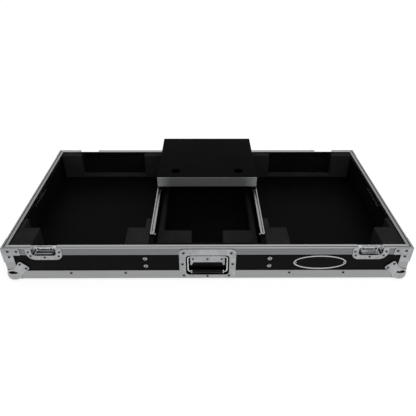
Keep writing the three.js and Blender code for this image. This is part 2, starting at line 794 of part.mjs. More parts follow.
function makeSideBays(group) {
  const inner = dividerOuter + blockGap;
  const outer = halfWidth - rimWidth;
  for (const [name, sign] of [["left", -1], ["right", 1]]) {
    const innerBlock = cornerBlock(sign * inner, innerBlockWidth, sign * (inner + innerArmWidth), sign);
    const outerBlock = cornerBlock(sign * outer, outerBlockWidth, sign * (outer - outerArmWidth), -sign);
    const ends = [sign * inner, sign * outer].sort((a, b) => a - b);
    group.add(piece(`deck_block_inner_${name}`, innerBlock, "blackFoam"));
    group.add(piece(`deck_block_outer_${name}`, outerBlock, "blackFoam"));
    group.add(piece(`deck_block_rear_${name}`, rearBlock(...ends), "blackFoam"));
  }
}

// L shaped pads of the centre bay: a pad along each divider and a block in front
function makeCentreBay(group) {
  const front = furnitureFront + frontBoardThickness + blockGap;
  for (const [name, sign] of [["left", -1], ["right", 1]]) {
    const wall = sign * (dividerInner - blockGap);
    const face = sign * (dividerInner - bayPadThickness);
    const points = [
      [wall, front],
      [sign * bayBlockInner, front],
      [sign * bayBlockInner, fromFront(bayBlockBack)],
      [face, fromFront(bayBlockBack)],
      [face, furnitureBack],
      [wall, furnitureBack],
    ];
    const pad = extrudedUp(polygon(points), floorTop, rimTop - bayPadDrop);
    group.add(piece(`mixer_pad_${name}`, pad, "blackFoam"));
  }
}

// A glide rail: a bar with a rounded front end and a T slot that stops short of both ends
function makeRails(group) {
  const front = fromFront(railFrontInset);
  const back = railBack;
  const base = dividerTop;
  const top = base + railHeight;
  const slotFront = front + railEndWall;
  const slotBack = back - railEndWall;
  for (const [name, sign] of [["left", -1], ["right", 1]]) {
    const plan = new THREE.Shape();
    plan.moveTo(railWidth / 2, front + railWidth / 2);
    plan.lineTo(railWidth / 2, back);
    plan.lineTo(-railWidth / 2, back);
    plan.lineTo(-railWidth / 2, front + railWidth / 2);
    plan.absarc(0, front + railWidth / 2, railWidth / 2, Math.PI, 2 * Math.PI);
    const bar = extrudedUp(plan, base, top);
    const slotBase = base + slotFloor;
    const mouth = block(-slotMouth / 2, slotMouth / 2, slotFront, slotBack, slotBase, top + cutOverrun);
    const cavity = block(-slotWidth / 2, slotWidth / 2, slotFront, slotBack, slotBase, top - slotLip);
    const rail = cutAway(bar, mouth, cavity).translate(sign * railCentre, 0, 0);
    group.add(piece(`glide_rail_${name}`, rail, "aluminium"));
  }
}

// The platform glides on the rails. Its group has the case's X and Y, and its Z = 0 is the top of the rails.
function makePlatform(group) {
  const platform = new THREE.Group();
  platform.position.z = dividerTop + railHeight;
  const back = platformBack;
  const front = back - platformDepth;
  const top = rimTop + platformHeight - platform.position.z;
  const half = platformWidth / 2;
  const stripBase = top - stripHeight;
  const boardFront = front + stripThickness;
  const outline = new THREE.Shape();
  outline.moveTo(-half, boardFront);
  outline.lineTo(half, boardFront);
  outline.lineTo(half, back);
  outline.lineTo(-half, back);
  for (const sign of [-1, 1]) {
    const hole = new THREE.Path();
    const centreX = sign * (half - cableHoleFromEdge);
    hole.absarc(centreX, front + cableHoleFromFront, cableHole / 2, 0, 2 * Math.PI);
    outline.holes.push(hole);
  }
  const board = extrudedUp(outline, top - platformBoard, top, 8);
  const battens = [-1, 1].map((sign) => {
    const x = [sign * half, sign * (half - battenWidth)].sort((a, b) => a - b);
    return block(x[0], x[1], boardFront, back, stripBase, top - platformBoard);
  });
  const crossBack = boardFront + battenWidth;
  const crossBatten = block(-half, half, boardFront, crossBack, stripBase, top - platformBoard);
  platform.add(piece("laptop_platform", joined(board, ...battens, crossBatten), "laminate"));
  const strip = block(-half, half, front, boardFront, stripBase, top);
  platform.add(piece("platform_front_strip", strip, "aluminium"));
  for (const [name, sign] of [["left", -1], ["right", 1]]) {
    platform.add(piece(`platform_runner_${name}`, runner(sign, front, back, stripBase), "aluminium"));
  }
  group.add(platform);
}

// A runner: an open box channel, with a T foot below it that rides in the rail's slot
function runner(sign, front, back, top) {
  const half = platformWidth / 2;
  const x = [sign * half, sign * (half - runnerWidth)].sort((a, b) => a - b);
  const channel = block(x[0], x[1], front, back, glideGap, top);
  const boreBase = glideGap + runnerWall;
  const [boreLeft, boreRight] = [x[0] + runnerWall, x[1] - runnerWall];
  const bore = block(boreLeft, boreRight, front - cutOverrun, back + cutOverrun, boreBase, top - runnerWall);
  const footFront = front + footFrontInset;
  const footBack = railBack - railEndWall - footEndGap;
  const neckHalf = slotMouth / 2 - footClearance;
  const footHalf = slotWidth / 2 - footClearance;
  const footTop = -slotLip - footClearance;
  const footBase = slotFloor + footClearance - railHeight;
  const centre = sign * railCentre;
  const neckTop = glideGap + runnerWall / 2;
  const neck = block(centre - neckHalf, centre + neckHalf, footFront, footBack, footBase, neckTop);
  const foot = block(centre - footHalf, centre + footHalf, footFront, footBack, footBase, footTop);
  return joined(cutAway(channel, bore), neck, foot);
}

const coffinCase = new THREE.Group();
makeBoards(coffinCase);
makeFloorAngles(coffinCase);
makeCornerAngles(coffinCase);
makeRim(coffinCase);
makeBallCorners(coffinCase);
makeRimBrackets(coffinCase);
makeLatches(coffinCase);
makeHandle(coffinCase, "front");
makeHandle(coffinCase, "left");
makeHandle(coffinCase, "right");
makeOvalPlate(coffinCase);
makeDividers(coffinCase);
makeSideBays(coffinCase);
makeCentreBay(coffinCase);
makeRails(coffinCase);
makePlatform(coffinCase);

export default coffinCase;
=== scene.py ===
"""A low coffin case with a gliding laptop platform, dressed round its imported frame.

Metres, +X to the right, +Y to the back, +Z up, with the origin on the ground under the case's middle.
Every piece is modelled where it belongs, so its object stays at the origin and Object coordinates are
the case's own.
"""

import logging
import math
from collections.abc import Callable, Iterable, Sequence
from dataclasses import dataclass
from enum import Enum
from functools import partial

import bmesh
import bpy
from bmesh.types import BMEdge, BMesh, BMFace
from mathutils import Matrix, Vector


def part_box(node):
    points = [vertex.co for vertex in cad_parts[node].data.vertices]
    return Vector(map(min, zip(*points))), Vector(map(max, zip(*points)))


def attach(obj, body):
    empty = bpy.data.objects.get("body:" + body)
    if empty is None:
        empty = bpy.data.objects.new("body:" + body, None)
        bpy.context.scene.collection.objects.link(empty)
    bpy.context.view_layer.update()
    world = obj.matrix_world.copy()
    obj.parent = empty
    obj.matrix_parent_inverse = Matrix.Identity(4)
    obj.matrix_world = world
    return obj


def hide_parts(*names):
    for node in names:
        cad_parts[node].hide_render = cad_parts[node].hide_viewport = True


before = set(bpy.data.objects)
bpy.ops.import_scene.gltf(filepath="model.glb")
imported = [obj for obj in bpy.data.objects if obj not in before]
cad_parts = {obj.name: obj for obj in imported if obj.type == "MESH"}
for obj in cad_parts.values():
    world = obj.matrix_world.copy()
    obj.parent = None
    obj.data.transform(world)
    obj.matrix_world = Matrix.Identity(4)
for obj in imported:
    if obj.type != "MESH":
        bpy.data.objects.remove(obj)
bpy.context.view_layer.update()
log = logging.getLogger("coffin_case")

# Distances at which corners merge, in a mesh and after a join, and the enlargement for a join
MERGE_WIDTH = 0.00001
JOINED_MERGE_WIDTH = MERGE_WIDTH / 10
JOIN_SCALE = 1000.0
# Angles up to which faces count as one flat face, from which an edge is rounded, and up to which a fold
# is shown smooth
FLAT_ANGLE = math.radians(0.5)
EDGE_ANGLE = math.radians(28)
SMOOTH_ANGLE = math.radians(38)
# How a display turns its levels into light
DISPLAY_WHITE = 255
DISPLAY_OFFSET = 0.055
DISPLAY_GAMMA = 2.4
# The middle of a noise pattern's values, and the shade that leaves a colour as it is
NOISE_MIDDLE = 0.5
UNCHANGED = 1.0
# The colour sockets of a Mix node, by number
MIX_FIRST = 6
MIX_SECOND = 7
MIX_RESULT = 2
UP = Vector((0, 0, 1))
DOWN = Vector((0, 0, -1))
# The turn that lays along X what was made round Z
LYING = Matrix.Rotation(math.pi / 2, 4, "Y")

Pair = tuple[float, float]
Triple = tuple[float, float, float]
Colour = tuple[float, float, float, float]


def grey(level: float, blue: float = 0.0) -> Colour:
    """A grey as a display shows it, made linear.

    Args:
        level: brightness on the display's scale of 0 to 255.
        blue: how much the blue channel is raised and the red one lowered, as a share.

    Returns:
        The linear colour with full alpha.
    """
    linear = ((level / DISPLAY_WHITE + DISPLAY_OFFSET) / (1 + DISPLAY_OFFSET)) ** DISPLAY_GAMMA
    return (linear * (1 - blue), linear, linear * (1 + blue), 1.0)


class Grain(Enum):
    """The axis along which a metal was drawn or brushed."""

    ALONG_X = 0
    ALONG_Y = 1
    ALONG_Z = 2

    def stretch(self, along: float, across: float) -> Triple:
        """The scale of a pattern that runs along this axis."""
        return tuple(along if axis == self.value else across for axis in range(3))


class Join(Enum):
    """How a second solid changes a first one."""

    WELD = "UNION"
    CUT = "DIFFERENCE"
    TRIM = "INTERSECT"


class Wire:
    """An output socket of a node tree that takes part in Python sums."""

    def __init__(self, recipe: "Recipe", socket: bpy.types.NodeSocket) -> None:
        """Keeps the socket and the recipe that adds nodes behind it."""
        self.recipe = recipe
        self.socket = socket

    def _sum(self, operation: str, first: "Wire | float", second: "Wire | float") -> "Wire":
        """Adds one Math node for an operation on two operands."""
        return self.recipe.node("ShaderNodeMath", {"operation": operation}, {0: first, 1: second})

    def __add__(self, other: "Wire | float") -> "Wire":
        """Self plus other."""
        return self._sum("ADD", self, other)

    def __radd__(self, other: float) -> "Wire":
        """Other plus self."""
        return self._sum("ADD", other, self)

    def __sub__(self, other: "Wire | float") -> "Wire":
        """Self minus other."""
        return self._sum("SUBTRACT", self, other)

    def __rsub__(self, other: float) -> "Wire":
        """Other minus self."""
        return self._sum("SUBTRACT", other, self)

    def __mul__(self, other: "Wire | float") -> "Wire":
        """Self times other."""
        return self._sum("MULTIPLY", self, other)

    def __rmul__(self, other: float) -> "Wire":
        """Other times self."""
        return self._sum("MULTIPLY", other, self)

    def step(self, low: float, high: float) -> "Wire":
        """A smooth step from 0 at low to 1 at high."""
        bounds = {"From Min": low, "From Max": high, "Value": self}
        return self.recipe.node("ShaderNodeMapRange", {"interpolation_type": "SMOOTHSTEP"}, bounds)

    def size(self) -> "Wire":
        """The magnitude of this number."""
        return self._sum("ABSOLUTE", self, 0.0)

    def swing(self, amount: float) -> "Wire":
        """A noise pattern as a change about zero."""
        return (self - NOISE_MIDDLE) * amount


@dataclass(frozen=True)
class Noise:
    """A cloudy pattern: features to the metre, detail, roughness, and features to the metre along a grain."""

    scale: float
    detail: float = 2.0
    roughness: float = 0.5
    along: float = 0.0


class Recipe:
    """A node tree, and the few ways in which this file adds to it."""

    def __init__(self, tree: bpy.types.NodeTree) -> None:
        """Starts on an emptied tree."""
        self.tree = tree
        self.tree.nodes.clear()

    def node(
        self,
        kind: str,
        settings: dict[str, object] | None = None,
        values: dict[int | str, object] | None = None,
        output: int | str = 0,
    ) -> Wire:
        """Adds a node.

        Args:
            kind: the node's type.
            settings: its own settings, such as a Math node's operation, which are set first.
            values: the values or links of its sockets, by number or name.
            output: the output that the caller goes on with.

        Returns:
            That output.
        """
        made = self.tree.nodes.new(kind)
        for name, setting in (settings or {}).items():
            setattr(made, name, setting)
        for key, value in (values or {}).items():
            if isinstance(value, Wire):
                self.tree.links.new(value.socket, made.inputs[key])
            else:
                made.inputs[key].default_value = value
        return Wire(self, made.outputs[output])

    def place(self, scale: Triple = (1, 1, 1), centre: Triple = (0, 0, 0)) -> Wire:
        """Object coordinates about a centre, multiplied by a scale.

        Args:
            scale: the factor of each coordinate.
            centre: the point that becomes the origin.

        Returns:
            The new coordinates.
        """
        here = self.node("ShaderNodeTexCoord", output="Object")
        inverse = tuple(1 / value for value in scale)
        settings = {"vector_type": "TEXTURE"}
        values = {"Vector": here, "Location": centre, "Scale": inverse}
        return self.node("ShaderNodeMapping", settings, values)

    def coordinate(self, axis: str) -> Wire:
        """One of the Object coordinates, by its letter."""
        return self.node("ShaderNodeSeparateXYZ", None, {0: self.place()}, axis)

    def noise(self, pattern: Noise, grain: Grain | None = None) -> Wire:
        """A cloudy pattern in Object coordinates.

        Args:
            pattern: its measures.
            grain: the axis along which it is drawn out, if any.

        Returns:
            Values about the middle of a noise pattern.
        """
        even = (pattern.scale,) * 3
        vector = self.place(even if grain is None else grain.stretch(pattern.along, pattern.scale))
        values = {"Vector": vector, "Scale": 1.0, "Detail": pattern.detail, "Roughness": pattern.roughness}
        return self.node("ShaderNodeTexNoise", None, values)

    def cells(self, scale: float) -> Wire:
        """The distance to the nearest of many scattered points."""
        return self.node("ShaderNodeTexVoronoi", None, {"Vector": self.place(), "Scale": scale})

    def blend(self, share: Wire, first: Colour | Wire, second: Colour | Wire) -> Wire:
        """A colour between two others."""
        values = {0: share, MIX_FIRST: first, MIX_SECOND: second}
        return self.node("ShaderNodeMix", {"data_type": "RGBA"}, values, MIX_RESULT)

    def shaded(self, colour: Wire, shade: Wire) -> Wire:
        """A colour multiplied by a shade."""
        return self.node("ShaderNodeVectorMath", {"operation": "SCALE"}, {0: colour, "Scale": shade})

    def relief(self, height: Wire, depth: float, strength: float) -> Wire:
        """A normal that follows a height."""
        values = {"Height": height, "Distance": depth, "Strength": strength}
        return self.node("ShaderNodeBump", None, values)

    def finish(self, shader: Wire, output: str = "ShaderNodeOutputMaterial") -> None:
        """Joins the last shader to the tree's output."""
        end = self.tree.nodes.new(output)
        self.tree.links.new(shader.socket, end.inputs["Surface"])


class Finish:
    """A surface finish, made a material once and shared by every piece that has it."""

    title: str

    def material(self) -> bpy.types.Material:
        """This finish's material.

        Returns:
            The material of its title, which is made at the first call.
        """
        known = bpy.data.materials.get(self.title)
        if known is not None:
            return known
        made = bpy.data.materials.new(self.title)
        made.use_nodes = True
        recipe = Recipe(made.node_tree)
        recipe.finish(recipe.node("ShaderNodeBsdfPrincipled", None, self.sockets(recipe)))
        return made

    def sockets(self, recipe: Recipe) -> dict[str, object]:
        """The values and links of the Principled shader.

        Args:
            recipe: the tree that gets the nodes.

        Returns:
            Values and links by the name of their socket.
        """
        raise NotImplementedError


@dataclass(frozen=True)
class DrawnAluminium(Finish):
    """Satin aluminium with drawn lines, handling marks and painted shade below a given height."""

    title: str
    grain: Grain
    tone: float = 156
    shaded_lower_tone: float = 156
    shade_level: float = 0.0
    shade_fade: float = 0.0004
    blue: float = 0.008
    lines: Noise = Noise(1400, 3, 0.6, along=5)
    bands: Noise = Noise(260, along=2.5)
    marks: Noise = Noise(31, 4, 0.65)
    line_contrast: float = 0.16
    mark_contrast: float = 0.12
    roughness: float = 0.36
    line_roughness: float = 0.12
    mark_roughness: float = 0.22
    relief: Pair = (0.00006, 0.25)

    def sockets(self, recipe: Recipe) -> dict[str, object]:
        """Lines and marks in the colour, the roughness and the bump, over painted shade below the set level.

        Args:
            recipe: the tree that gets the nodes.

        Returns:
            Values and links by the name of their socket.
        """
        lines = recipe.noise(self.lines, self.grain)
        bands = recipe.noise(self.bands, self.grain)
        marks = recipe.noise(self.marks)
        # Painted shade: below the set level the colour fades to the lower, darker tone
        height = recipe.coordinate("Z")
        upper = height.step(self.shade_level - self.shade_fade, self.shade_level + self.shade_fade)
        plain = recipe.blend(upper, grey(self.shaded_lower_tone, self.blue), grey(self.tone, self.blue))
        change = lines.swing(self.line_contrast) + bands.swing(self.line_contrast)
        shade = change + marks.swing(self.mark_contrast) + UNCHANGED
        return {
            "Base Color": recipe.shaded(plain, shade),
            "Metallic": 1.0,
            "Roughness": marks.swing(self.mark_roughness) + lines.swing(self.line_roughness) + self.roughness,
            "Normal": recipe.relief(lines, *self.relief),
        }


@dataclass(frozen=True)
class PlatedSteel(Finish):
    """Zinc plated pressed steel: a cloudy grey with small bright and dull patches."""

    title: str
    tone: float = 162
    tone_spread: float = 6
    blues: Pair = (0.01, 0.03)
    clouds: Noise = Noise(38, 4, 0.6)
    patches: Noise = Noise(190)
    wave: Noise = Noise(70, 1, 0.4)
    cloud_steps: Pair = (0.35, 0.7)
    contrast: float = 0.36
    patch_contrast: float = 0.6
    roughness: float = 0.34
    cloud_roughness: float = 0.2
    patch_roughness: float = 0.12
    relief: Pair = (0.0006, 0.12)

    def sockets(self, recipe: Recipe) -> dict[str, object]:
        """Clouds and patches in the colour and the roughness, with a slight wave in the sheet.

        Args:
            recipe: the tree that gets the nodes.

        Returns:
            Values and links by the name of their socket.
        """
        clouds = recipe.noise(self.clouds)
        patches = recipe.noise(self.patches)
        shade = clouds.swing(self.contrast) + patches.swing(self.patch_contrast) + UNCHANGED
        dull = grey(self.tone - self.tone_spread, self.blues[0])
        bright = grey(self.tone + self.tone_spread, self.blues[1])
        plain = recipe.blend(clouds.step(*self.cloud_steps), dull, bright)
        wear = clouds.swing(self.cloud_roughness) + patches.swing(self.patch_roughness)
        return {
            "Base Color": recipe.shaded(plain, shade),
            "Metallic": 1.0,
            "Roughness": wear + self.roughness,
            "Normal": recipe.relief(recipe.noise(self.wave), *self.relief),
        }


@dataclass(frozen=True)
class BlackLaminate(Finish):
    """Black laminate with a fine pebbled grain and faint rubbed patches."""

    title: str
    dark: float = 11
    light: float = 21
    gloss: float = 0.05
    pebbles: Noise = Noise(1300)
    rubbing: Noise = Noise(9, 4, 0.6)
    pebble_share: float = 0.5
    tint_steps: Pair = (0.32, 0.68)
    roughness: float = 0.5
    rubbed_roughness: float = 0.3
    relief: Pair = (0.00025, 0.35)

    def sockets(self, recipe: Recipe) -> dict[str, object]:
        """A pebbled grain in the bump, and rubbed patches in the colour and the roughness.

        Args:
            recipe: the tree that gets the nodes.

        Returns:
            Values and links by the name of their socket.
        """
        pebbles = recipe.noise(self.pebbles)
        rubbed = recipe.noise(self.rubbing)
        tint = pebbles * self.pebble_share + rubbed * (1 - self.pebble_share)
        return {
            "Base Color": recipe.blend(tint.step(*self.tint_steps), grey(self.dark), grey(self.light)),
            "Roughness": rubbed.swing(self.rubbed_roughness) + self.roughness,
            "Specular IOR Level": self.gloss,
            "Normal": recipe.relief(pebbles, *self.relief),
        }


@dataclass(frozen=True)
class BlackFoam(Finish):
    """Black closed cell foam with open pores on its cut faces."""

    title: str
    dark: float = 20
    light: float = 42
    gloss: float = 0.05
    pore_scale: float = 520
    clouds: Noise = Noise(16, 3, 0.6)
    pore_share: float = 0.6
    cloud_share: float = 0.5
    tint_steps: Pair = (0.2, 0.75)
    roughness: float = 0.86
    cloud_roughness: float = 0.1
    relief: Pair = (0.0007, 0.5)

    def sockets(self, recipe: Recipe) -> dict[str, object]:
        """Pores in the colour and the bump, over a slow change of tone.

        Args:
            recipe: the tree that gets the nodes.

        Returns:
            Values and links by the name of their socket.
        """
        pores = recipe.cells(self.pore_scale)
        cloud = recipe.noise(self.clouds)
        tint = pores * self.pore_share + cloud * self.cloud_share
        return {
            "Base Color": recipe.blend(tint.step(*self.tint_steps), grey(self.dark), grey(self.light)),
            "Roughness": cloud * self.cloud_roughness + self.roughness,
            "Specular IOR Level": self.gloss,
            "Normal": recipe.relief(pores, *self.relief),
        }


@dataclass(frozen=True)
class BlackRubber(Finish):
    """Moulded black rubber, satin where hands have polished it."""

    title: str
    dark: float
    light: float
    gloss: float = 0.2
    texture: Noise = Noise(900)
    polish: Noise = Noise(45, 3, 0.6)
    tint_steps: Pair = (0.3, 0.7)
    roughness: float = 0.5
    polish_roughness: float = 0.3
    relief: Pair = (0.00012, 0.3)

    def sockets(self, recipe: Recipe) -> dict[str, object]:
        """A fine moulded texture, and a polish that comes and goes.

        Args:
            recipe: the tree that gets the nodes.

        Returns:
            Values and links by the name of their socket.
        """
        polish = recipe.noise(self.polish)
        return {
            "Base Color": recipe.blend(polish.step(*self.tint_steps), grey(self.dark), grey(self.light)),
            "Roughness": polish.swing(self.polish_roughness) + self.roughness,
            "Specular IOR Level": self.gloss,
            "Normal": recipe.relief(recipe.noise(self.texture), *self.relief),
        }


@dataclass(frozen=True)
class BrushedStrip(Finish):
    """Fine brushed strip with a painted reflection that makes it lighter towards its two ends."""

    title: str
    half: float
    middle_shade_tone: float = 116
    end_highlight_tone: float = 178
    blue: float = 0.02
    highlight_steps: Pair = (0.7, 1.02)
    lines: Noise = Noise(1900, 3, 0.65, along=7)
    clouds: Noise = Noise(22, 3, 0.6)
    line_contrast: float = 0.4
    cloud_contrast: float = 0.2
    metallic: float = 0.4
    roughness: float = 0.55
    line_roughness: float = 0.2
    relief: Pair = (0.00008, 0.3)

    def sockets(self, recipe: Recipe) -> dict[str, object]:
        """Brush lines along X over a painted reflection that follows the distance from the middle.

        Args:
            recipe: the tree that gets the nodes.

        Returns:
            Values and links by the name of their socket.
        """
        lines = recipe.noise(self.lines, Grain.ALONG_X)
        cloud = recipe.noise(self.clouds)
        # Painted reflection: the tone lightens from the middle towards both ends
        ends = (recipe.coordinate("X").size() * (1 / self.half)).step(*self.highlight_steps)
        plain = recipe.blend(ends, grey(self.middle_shade_tone, self.blue), grey(self.end_highlight_tone, self.blue))
        shade = lines.swing(self.line_contrast) + cloud.swing(self.cloud_contrast) + UNCHANGED
        return {
            "Base Color": recipe.shaded(plain, shade),
            "Metallic": self.metallic,
            "Roughness": lines.swing(self.line_roughness) + self.roughness,
            "Normal": recipe.relief(lines, *self.relief),
        }


@dataclass(frozen=True)
class OvalPlateFinish(Finish):
    """A bright raised rim round a bare black field, parted by an ellipse."""

    title: str
    centre: Triple
    field_half_width: float
    field_half_height: float
    rim_tones: Pair = (170, 198)
    field_tones: Pair = (3, 13)
    gloss: float = 0.06
    border: Pair = (0.985, 1.0)
    clouds: Noise = Noise(60, 3, 0.6)
    roughness: float = 0.26
    cloud_roughness: float = 0.14
    relief: Pair = (0.0002, 0.1)

    def sockets(self, recipe: Recipe) -> dict[str, object]:
        """The ellipse decides between plated rim and enamelled field, at any depth.

        Args:
            recipe: the tree that gets the nodes.

        Returns:
            Values and links by the name of their socket.
        """
        any_depth = 1000.0
        radii = (self.field_half_width, any_depth, self.field_half_height)
        local = recipe.place(tuple(1 / value for value in radii), self.centre)
        distance = recipe.node("ShaderNodeVectorMath", {"operation": "LENGTH"}, {0: local}, "Value")
        rim = distance.step(*self.border)
        cloud = recipe.noise(self.clouds)
        enamel = recipe.blend(cloud, *map(grey, self.field_tones))
        plated = recipe.blend(cloud, *map(grey, self.rim_tones))
        return {
            "Base Color": recipe.blend(rim, enamel, plated),
            "Metallic": rim,
            "Roughness": cloud * self.cloud_roughness + self.roughness,
            "Specular IOR Level": self.gloss,
            "Normal": recipe.relief(cloud, *self.relief),
        }


# The finishes of the sub-assemblies
ALUMINIUM = {grain: DrawnAluminium(f"aluminium_{grain.name.lower()}", grain) for grain in Grain}
# Painted shade: the side rims' groove is coloured dark where only shade falls
GROOVE_SHADE = DrawnAluminium("groove_painted_shade", Grain.ALONG_Y, tone=84, shaded_lower_tone=84)
PRESSED = PlatedSteel("plated_steel")
POLISHED = PlatedSteel("polished_plated_steel", contrast=0.2, roughness=0.17)
BRIGHT = PlatedSteel("bright_plated_steel", tone=196, contrast=0.2, roughness=0.24)
RIVET = PlatedSteel("rivet_steel", tone=132, contrast=0.2, roughness=0.26)
SCREW = PlatedSteel("dull_screw_steel", tone=92, contrast=0.2, roughness=0.3)
BOLT = PlatedSteel("bolt_steel", tone=172, contrast=0.25, roughness=0.3)
# Painted shade: the handle pans' insides are coloured dark where only shade falls
PAN_SHADE = PlatedSteel("pan_steel_painted_shade", tone=34, contrast=0.5, roughness=0.6)
# Painted light: a brighter copy of the plated steel for the latch pockets, with strong patches as painted
# glints
LIT_POCKET = PlatedSteel("pocket_steel_painted_light", tone=182, contrast=0.6, patch_contrast=1.1, roughness=0.2)
# Painted shade: near black for the hollows of rivets and the recesses of screws
HOLLOW_SHADE = BlackRubber("hollow_painted_shade", dark=2, light=8, roughness=0.7)
GRIP = BlackRubber("grip_rubber_black", dark=5, light=12)
LAMINATE = BlackLaminate("black_laminate_board")
# Painted shade: a darker copy of the laminate for the boards inside the case
SHADED_INNER_LAMINATE = BlackLaminate("black_laminate_inside_painted_shade", dark=4, light=11, gloss=0.02)
PLATFORM_LAMINATE = BlackLaminate("platform_laminate", dark=3, light=10, gloss=0.008)
FOAM = BlackFoam("black_cell_foam")


def rounded(shape: BMesh, edges: Iterable[BMEdge], width: float, segments: int = 2) -> BMesh:
    """Rounds edges of a shape.

    Args:
        shape: the bmesh to change.
        edges: those of its edges to round.
        width: how far each bevel reaches from its edge.
        segments: the steps across each bevel.

    Returns:
        The same bmesh.
    """
    bmesh.ops.bevel(
        shape,
        geom=list(edges),
        offset=width,
        offset_type="OFFSET",
        segments=segments,
        profile=0.5,
        affect="EDGES",
        clamp_overlap=True,
        material=-1,
    )
    return shape


def eased_copy(node: str, width: float, segments: int = 2) -> BMesh:
    """The mesh of a CAD node, with whole flat faces and with its sharp edges rounded.

    Args:
        node: the CAD node's name.
        width: how far each bevel reaches from its edge.
        segments: the steps across each bevel.

    Returns:
        A new bmesh where the node is.
    """
    shape = bmesh.new()
    shape.from_mesh(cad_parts[node].data)
    bmesh.ops.remove_doubles(shape, verts=shape.verts, dist=MERGE_WIDTH)
    bmesh.ops.dissolve_limit(shape, angle_limit=FLAT_ANGLE, verts=shape.verts, edges=shape.edges)
    sharp = [edge for edge in shape.edges if edge.is_manifold and edge.calc_face_angle(0) > EDGE_ANGLE]
    return rounded(shape, sharp, width, segments)


def loose_object(name: str, shape: BMesh) -> bpy.types.Object:
    """Puts a bmesh into the scene as an object at the origin.

    Args:
        name: the object's name.
        shape: its mesh, which is freed.

    Returns:
        The new object.
    """
    mesh = bpy.data.meshes.new(name)
    shape.to_mesh(mesh)
    shape.free()
    made = bpy.data.objects.new(name, mesh)
    bpy.context.scene.collection.objects.link(made)
    return made


def combined(base: BMesh, changes: Sequence[tuple[Join, BMesh]]) -> BMesh:
    """Welds other solids to a base, or cuts them out of it, in order.

    Args:
        base: the solid to start from.
        changes: how each further solid changes it.

    Returns:
        The resulting solid, as a new bmesh.
    """
    solids = [base, *(tool for _, tool in changes)]
    for solid in solids:
        bmesh.ops.scale(solid, verts=solid.verts, vec=(JOIN_SCALE,) * 3)
    holder, *tools = [loose_object("joinery", solid) for solid in solids]
    for (join, _), tool in zip(changes, tools, strict=True):
        step = holder.modifiers.new(join.name.lower(), "BOOLEAN")
        step.operation = join.value
        step.solver = "EXACT"
        step.object = tool
    result = bmesh.new()
    result.from_object(holder, bpy.context.evaluated_depsgraph_get())
    for helper in [holder, *tools]:
        mesh = helper.data
        bpy.data.objects.remove(helper)
        bpy.data.meshes.remove(mesh)
    bmesh.ops.scale(result, verts=result.verts, vec=(1 / JOIN_SCALE,) * 3)
    bmesh.ops.remove_doubles(result, verts=result.verts, dist=JOINED_MERGE_WIDTH)
    return result


def moved(shape: BMesh, matrix: Matrix) -> BMesh:
    """Moves a whole shape, and returns it."""
    bmesh.ops.transform(shape, matrix=matrix, verts=shape.verts)
    return shape


def together(shapes: Iterable[BMesh]) -> BMesh:
    """Several shapes in one bmesh.

    Args:
        shapes: the shapes, each of which is freed.

    Returns:
        A new bmesh that holds them all.
    """
    result = bmesh.new()
    for shape in shapes:
        mesh = bpy.data.meshes.new("shape")
        shape.to_mesh(mesh)
        shape.free()
        result.from_mesh(mesh)
        bpy.data.meshes.remove(mesh)
    return result


def many(template: BMesh, places: Sequence[Matrix]) -> BMesh:
    """Copies of a small shape at many places.

    Args:
        template: the shape, which is freed.
        places: where each copy goes.

    Returns:
        A new bmesh that holds every copy.
    """
    copies = [moved(template.copy(), place) for place in places]
    template.free()
    return together(copies)


def mirrored(shape: BMesh, x_factor: int, y_factor: int) -> BMesh:
    """A mirror copy of a shape, with its faces pointing out.

    Args:
        shape: the shape, which is kept.
        x_factor: 1, or -1 for a mirror in X.
        y_factor: 1, or -1 for a mirror in Y.

    Returns:
        A new bmesh.
    """
    copy = shape.copy()
    bmesh.ops.scale(copy, verts=copy.verts, vec=(x_factor, y_factor, 1))
    if x_factor * y_factor < 0:
        bmesh.ops.reverse_faces(copy, faces=copy.faces)
    return copy


def painted(shape: BMesh, chosen: Callable[[BMFace], bool]) -> BMesh:
    """Gives the chosen faces of a shape the second finish.

    Args:
        shape: the bmesh to change.
        chosen: tells whether a face is one of them.

    Returns:
        The same bmesh.
    """
    for face in shape.faces:
        face.material_index = int(chosen(face))
    return shape


def facing(point: Vector, normal: Vector, roll: float = 0.0) -> Matrix:
    """The place of a fastener whose head looks along a normal."""
    turn = normal.to_track_quat("Z", "Y").to_matrix().to_4x4()
    return Matrix.Translation(point) @ turn @ Matrix.Rotation(roll, 4, "Z")


def piece(
    name: str,
    shape: BMesh,
    finishes: Sequence[Finish],
    body: str,
    stands_for: Sequence[str] = (),
) -> bpy.types.Object:
    """Makes a finished piece of a bmesh, which is freed.

    Args:
        name: the piece's name.
        shape: its mesh, in place.
        finishes: its materials, in the order of the faces' material numbers.
        body: the CAD body that it rides on.
        stands_for: the CAD nodes that it replaces.

    Returns:
        The new object.
    """
    for edge in shape.edges:
        edge.smooth = True
    for face in shape.faces:
        face.smooth = True
    made = loose_object(name, shape)
    for leftover in ("custom_normal", "sharp_face"):
        known = made.data.attributes.get(leftover)
        if known is not None:
            made.data.attributes.remove(known)
    made.data.set_sharp_from_angle(angle=SMOOTH_ANGLE)
    for finish in finishes:
        made.data.materials.append(finish.material())
    even = made.modifiers.new("even_normals", "WEIGHTED_NORMAL")
    even.keep_sharp = True
    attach(made, body)
    if stands_for:
        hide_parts(*stands_for)
    log.info("%s: %d faces, rides on %s", name, len(made.data.polygons), body)
    return made


